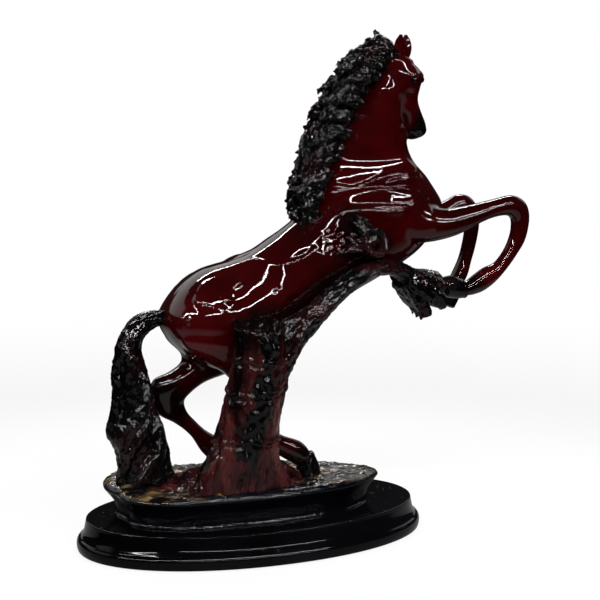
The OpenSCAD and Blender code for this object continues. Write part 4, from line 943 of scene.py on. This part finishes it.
def makeKnot():
    # a wavy ring turned about its axis, hollow in the middle, with curling strands behind it
    lean, spin = (math.radians(v) for v in knot["lean"])
    axis = np.array([math.sin(lean)*math.sin(spin), -math.sin(lean)*math.cos(spin), math.cos(lean)])
    across = np.cross(axis, [0, 0, 1.0])
    across /= np.linalg.norm(across)
    up = np.cross(across, axis)
    size, bore = knot["size"]/2, knot["bore"]/2/(knot["size"]/2)
    hollow = [[bore, -0.3], [bore*0.96, -0.9], [bore*0.5, -0.98], [0.02, -1.0]]
    profile = blendRows(knot["rim"] + hollow, 70)
    radius, height = profile[:, None, 0:1], profile[:, None, 1:2]
    a = ringAngles(72)[None, :, None]
    wave = 1 + 0.05*np.sin(3*a + 1) + 0.035*np.sin(7*a + 9*height)
    middle = place(knot["place"])
    solids = [closedTube(middle + size*(radius*wave*(across*np.cos(a) + up*np.sin(a)) + height*axis))]
    root, radii = middle - axis*knot["strandsBehind"], np.linspace(*knot["strandRadii"], 36)
    for i, tip in enumerate(place(knot["strands"])):
        bend = (root + tip)/2 + np.array([0, -0.002, 0.003*math.cos(2.4*i)])
        solids.append(closedTube(tubeGrid(curl(root, bend, tip, 36), radii, 16, 0.8, 3, 0.2, 5)))
    fusedPiece("hollowKnot", solids, woodBlack, ["branch_knot"], knot["voxel"],
               knot["carving"], 80)


makeTrunk()
makeBranch()
makeTip()
makeKnot()
print("tree made")


mound = {"half": (0.352, 0.8), "middle": -0.032, "power": 2.8, "corner": math.radians(55),
         "height": groundZ - plinthTop, "lip": 0.985, "brushed": 0.0016,
         "side": [[0.93, 0.0], [0.915, 0.12], [0.93, 0.42], [0.98, 0.74], [1.0, 0.88], [0.985, 1.0]]}


def makeMound():
    # squared oval by angle; rows go up the side, over the lip, and in over the flat top to the middle
    a = ringAngles(240)
    c, s = np.cos(a), np.sin(a)
    power, lip = mound["power"], mound["lip"]
    edge = (np.abs(c)**power + np.abs(s)**power)**(-1/power) \
        + 0.016*np.sin(3*a + 0.7) + 0.012*np.sin(5*a + 1.745) + 0.008*np.sin(11*a)
    cornered = np.maximum(np.cos(a - mound["corner"]), 0)
    drop, flat = 0.04 + 0.5*cornered**2, 0.955 - 0.48*cornered
    side = blendRows(mound["side"], 30)
    height = plinthTop + mound["height"]*side[:, 1:2]*(1 - drop)
    inner = lip*edge*(1 - np.linspace(0, 1, 50)[1:, None])
    rise = smoothStep(1 - (lip - inner/edge)/np.maximum(lip - flat, 0.02))
    grow = np.concatenate([side[:, 0:1]*edge, inner])
    height = np.concatenate([height, groundZ - (groundZ - height[-1])*rise])
    half = np.array(mound["half"])*[horse["length"], horse["width"]]
    middle = place([mound["middle"], 0, 0])
    grid = np.stack([middle[0] + half[0]*grow*c, middle[1] + half[1]*grow*s, height], -1)
    top = np.concatenate([np.zeros(30), np.ones(49)])[:, None]*smoothStep((lip - grow/edge)/0.05)
    brushed = np.abs(ripple(grid*np.array([0.6, 1.5, 1]), 0.01, 21)) + 0.5*np.abs(ripple(grid, 0.005, 22))
    grid[..., 2] += top*brushed*mound["brushed"]
    piece = meshPiece("groundMound", [closedTube(grid)], groundPaint, ["ground_mound"])
    # paint: black round the edge and in front of the trunk, red at the foot of trunk and tail, and
    # grey at the right
    mesh = piece.data
    points, upward = readPoints(mesh), readNormals(mesh)[:, 2]
    onTop = smoothStep((upward - 0.45)/0.3)*smoothStep((points[:, 2] - groundZ + 0.006)/0.002)
    black = 1 - onTop*smoothStep(0.75 + 1.2*ripple(points, 0.03, 24) + 0.5*ripple(points, 0.008, 25))
    at = points - place([0, 0, 0])*[1, 1, 0] + 0.003*ripple(points, 0.02, 26)[:, None]
    front = smoothStep((at[:, 0] + 0.046)/0.008)*smoothStep((0.03 - at[:, 0])/0.008)
    front = front*smoothStep((-0.028 - at[:, 1])/0.005)
    rust = np.zeros(len(points))
    for x, y, most, reach in ((-0.22, -0.15, 1.4, 0.016), (-0.06, -0.62, 1.3, 0.026)):
        rust = rust + smoothStep(most - np.linalg.norm(points - place([x, y, 0]), axis=1)/reach)
    paintShade(mesh, "blackPaintAndShade", np.clip(np.maximum(black, front), 0, 1))
    paintShade(mesh, "rust", np.clip(rust, 0, 1)*0.8)
    paintShade(mesh, "khaki", smoothStep((at[:, 0] - 0.03)/0.012))


leaves = {"places": [[-0.315, -0.26], [-0.238, -0.66], [-0.15, -0.7], [-0.32, 0.5],
                     [0.205, -0.36], [0.12, -0.62], [0.19, -0.08], [-0.16, 0.5]],
          "count": 7, "length": 0.085, "rise": 0.022, "thick": 0.0016}


def makeLeaves():
    # flattened curls lying round each place
    solids = []
    for i, (x, y) in enumerate(leaves["places"]):
        middle = place([x, y, 0])
        for b in range(leaves["count"]):
            a = 2*math.pi*b/leaves["count"] + 0.82*i
            out = levelAxes(a)[0]*horse["width"]*leaves["length"]
            rise = np.array([0, 0, horse["width"]*leaves["rise"]*(1.2 + math.sin(97*b + 31*i))])
            path = curl(middle + out*0.2 - rise, middle + out*0.55 + rise, middle + out - rise*0.3, 12)
            radii = leaves["thick"]*np.sin(np.linspace(0.5, 3.0, 12))
            solids.append(closedTube(tubeGrid(path, radii, 10, 0.5, side=(0, 0, 1))))
    piece = meshPiece("groundLeaves", solids, groundPaint, ["grass_tufts"])
    x = readPoints(piece.data)[:, 0]
    paintShade(piece.data, "blackPaintAndShade", 0*x)
    paintShade(piece.data, "rust", 0*x)
    paintShade(piece.data, "khaki", smoothStep((x - place([0.14, 0, 0])[0])/0.012))


plinthTurn = {"power": 2.08, "band": 0.006, "out": 0.0046, "around": 220,
              "bandRows": [[0.8, 0.0], [0.9, 0.03], [1.0, 0.35], [0.97, 0.75], [0.78, 1.0]],
              "wallRows": [[0.56, 0.02], [0.5, 0.08], [0.24, 0.36], [0.05, 0.8], [0, 0.95], [-0.04, 1]]}


def makePlinth():
    # moulding profile carried round a superellipse whose half sizes come from the CAD plinth
    lo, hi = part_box("plinth")
    out, bandH = plinthTurn["out"], plinthTurn["band"]
    band, wall = blendRows(plinthTurn["bandRows"], 26), blendRows(plinthTurn["wallRows"], 36)
    reach = np.concatenate([band[:, 0], wall[:, 0], [-0.14, -0.6, -3, -8]])[:, None]*out
    wallH = hi.z - lo.z - bandH
    height = np.concatenate([lo.z + bandH*band[:, 1], lo.z + bandH + wallH*wall[:, 1], [hi.z]*4])
    a = ringAngles(plinthTurn["around"])
    spreadX, spreadY = (np.sign(v)*np.abs(v)**(2/plinthTurn["power"]) for v in (np.cos(a), np.sin(a)))
    grid = np.stack([(hi.x - out + reach)*spreadX, (hi.y - out + reach)*spreadY, height[:, None] + 0*a], -1)
    meshPiece("ovalPlinth", [closedTube(grid)], plinthBlack, ["plinth"])


makeMound()
makeLeaves()
makePlinth()

for node, material in (("felt_pad", felt), ("base_screws", steel), ("trunk_dowel", beech),
                       ("right_hind_pin", steel), ("left_hind_pin", steel),
                       ("right_eye", eyeBlack), ("left_eye", eyeBlack)):
    dress(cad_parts[node].data, material)
print("ground and plinth made")


# lengths of the table's white from the middle, and between which heights the lacquer sees the world's white
studio = {"floor": 8.0, "floorGlow": 0.88, "tableEdge": (0.22, 0.42), "mirrored": 0.38,
          "dark": (0.02, 0.02, 0.021), "screen": (0.34, 0.6), "screenEdge": 0.05,
          "screenSide": 0.25, "shadow": (0.15, 0.8), "lampAim": [0.02, 0, 0.13]}


def makeFloor():
    # a white table round the plinth; past its edge only the camera and clear things see white
    size = studio["floor"]
    corners = [(-size, -size, 0), (size, -size, 0), (size, size, 0), (-size, size, 0)]
    mesh = bpy.data.meshes.new("floor")
    mesh.from_pydata(corners, [], [(0, 1, 2, 3)])
    floor = bpy.data.objects.new("floor", mesh)
    scene.collection.objects.link(floor)
    material, tree, shader = newMaterial("floorWhite", **{"Roughness": 0.9, "Specular IOR Level": 0.0})
    glow = addNode(tree, "ShaderNodeEmission", Color=(1, 1, 1, 1))
    away = addNode(tree, "ShaderNodeVectorMath", operation="LENGTH")
    tree.links.new(addNode(tree, "ShaderNodeTexCoord").outputs["Object"], away.inputs[0])
    away = away.outputs["Value"]
    table = fadeOf(tree, away, *studio["tableEdge"], 1.0, 0.0)
    tree.links.new(mixOf(tree, table, (0.03, 0.03, 0.03), (0.9, 0.9, 0.9)), shader.inputs["Base Color"])
    direct = pathShare(tree, "Is Camera Ray", "Is Transmission Ray")
    glossy = pathShare(tree, "Is Glossy Ray")
    seen = mathOf(tree, "MULTIPLY", direct, fadeOf(tree, away, *studio["shadow"], studio["floorGlow"]))
    nearTable = fadeOf(tree, away, *studio["tableEdge"], studio["mirrored"], 0.0)
    mirrored = mathOf(tree, "MULTIPLY", glossy, nearTable)
    mix = addNode(tree, "ShaderNodeMixShader")
    tree.links.new(mathOf(tree, "MAXIMUM", direct, mirrored), glow.inputs["Strength"])
    tree.links.new(mathOf(tree, "MAXIMUM", seen, glossy), mix.inputs[0])
    tree.links.new(shader.outputs[0], mix.inputs[1])
    tree.links.new(glow.outputs[0], mix.inputs[2])
    tree.links.new(mix.outputs[0], tree.nodes["Material Output"].inputs["Surface"])
    mesh.materials.append(material)


def makeWorld():
    # a dark room; the camera sees plain white all round, and the lacquer sees white in a band high up
    # behind the horse
    world = bpy.data.worlds.new("studio")
    scene.world = world
    world.use_nodes = True
    tree = world.node_tree
    split = addNode(tree, "ShaderNodeSeparateXYZ")
    tree.links.new(addNode(tree, "ShaderNodeTexCoord").outputs["Generated"], split.inputs[0])
    up, behind = split.outputs["Z"], split.outputs["Y"]
    low, high = studio["screen"]
    edge = studio["screenEdge"]
    band = mathOf(tree, "MULTIPLY", fadeOf(tree, up, low - edge, low), fadeOf(tree, up, high + edge, high))
    screen = mathOf(tree, "MULTIPLY", band, fadeOf(tree, behind, 0.0, studio["screenSide"]))
    mirrored = mathOf(tree, "MULTIPLY", pathShare(tree, "Is Glossy Ray"), screen)
    white = mathOf(tree, "MAXIMUM", pathShare(tree, "Is Camera Ray", "Is Transmission Ray"), mirrored)
    colour = mixOf(tree, white, studio["dark"], (1.0, 1.0, 1.0))
    tree.links.new(colour, tree.nodes["Background"].inputs["Color"])


def standAt(thing, spot, back, side):
    # a lamp or camera at its spot, looking the way opposite to back, with side to its right
    scene.collection.objects.link(thing)
    matrix = np.eye(4)
    matrix[:3] = np.stack([side, np.cross(back, side), back, spot], 1)
    thing.matrix_world = Matrix(matrix.tolist())


def makeLamp(name, spot, size, watts):
    # a rectangle of light that faces the horse
    data = bpy.data.lights.new(name, "AREA")
    data.shape = "RECTANGLE"
    data.size, data.size_y = size
    data.energy = watts
    away = np.array(spot) - studio["lampAim"]
    back = away/np.linalg.norm(away)
    side = np.cross([0, 0, 1.0], back)
    standAt(bpy.data.objects.new(name, data), spot, back, side/np.linalg.norm(side))


view = {"azimuth": -24, "elevation": 8, "distance": 0.8, "target": [0.0284, 0.0047, 0.1181],
        "sensor": 36, "lens": 94.86}


def makeCamera():
    # the photo's own view: 24 degrees to the left of the side, 8 degrees down, 0.8 m away
    azimuth, elevation = math.radians(view["azimuth"]), math.radians(view["elevation"])
    back = np.array([math.sin(azimuth)*math.cos(elevation), -math.cos(azimuth)*math.cos(elevation),
                     math.sin(elevation)])
    data = bpy.data.cameras.new("camera")
    data.sensor_width, data.lens = view["sensor"], view["lens"]
    camera = bpy.data.objects.new("camera", data)
    standAt(camera, np.array(view["target"]) + back*view["distance"], back, levelAxes(azimuth)[0])
    scene.camera = camera


makeFloor()
makeWorld()
makeLamp("stripKey", (-0.05, -1.1, 1.25), (2.4, 0.015), 27)
makeLamp("stripLow", (0.1, -1.4, 0.75), (1.9, 0.011), 12)
makeLamp("stripBack", (0.25, 1.0, 1.1), (1.2, 0.03), 11)
makeLamp("stripSide", (-1.2, -0.5, 0.85), (0.9, 0.018), 9)
makeCamera()
scene.view_settings.view_transform = "Standard"

print("scene ready")
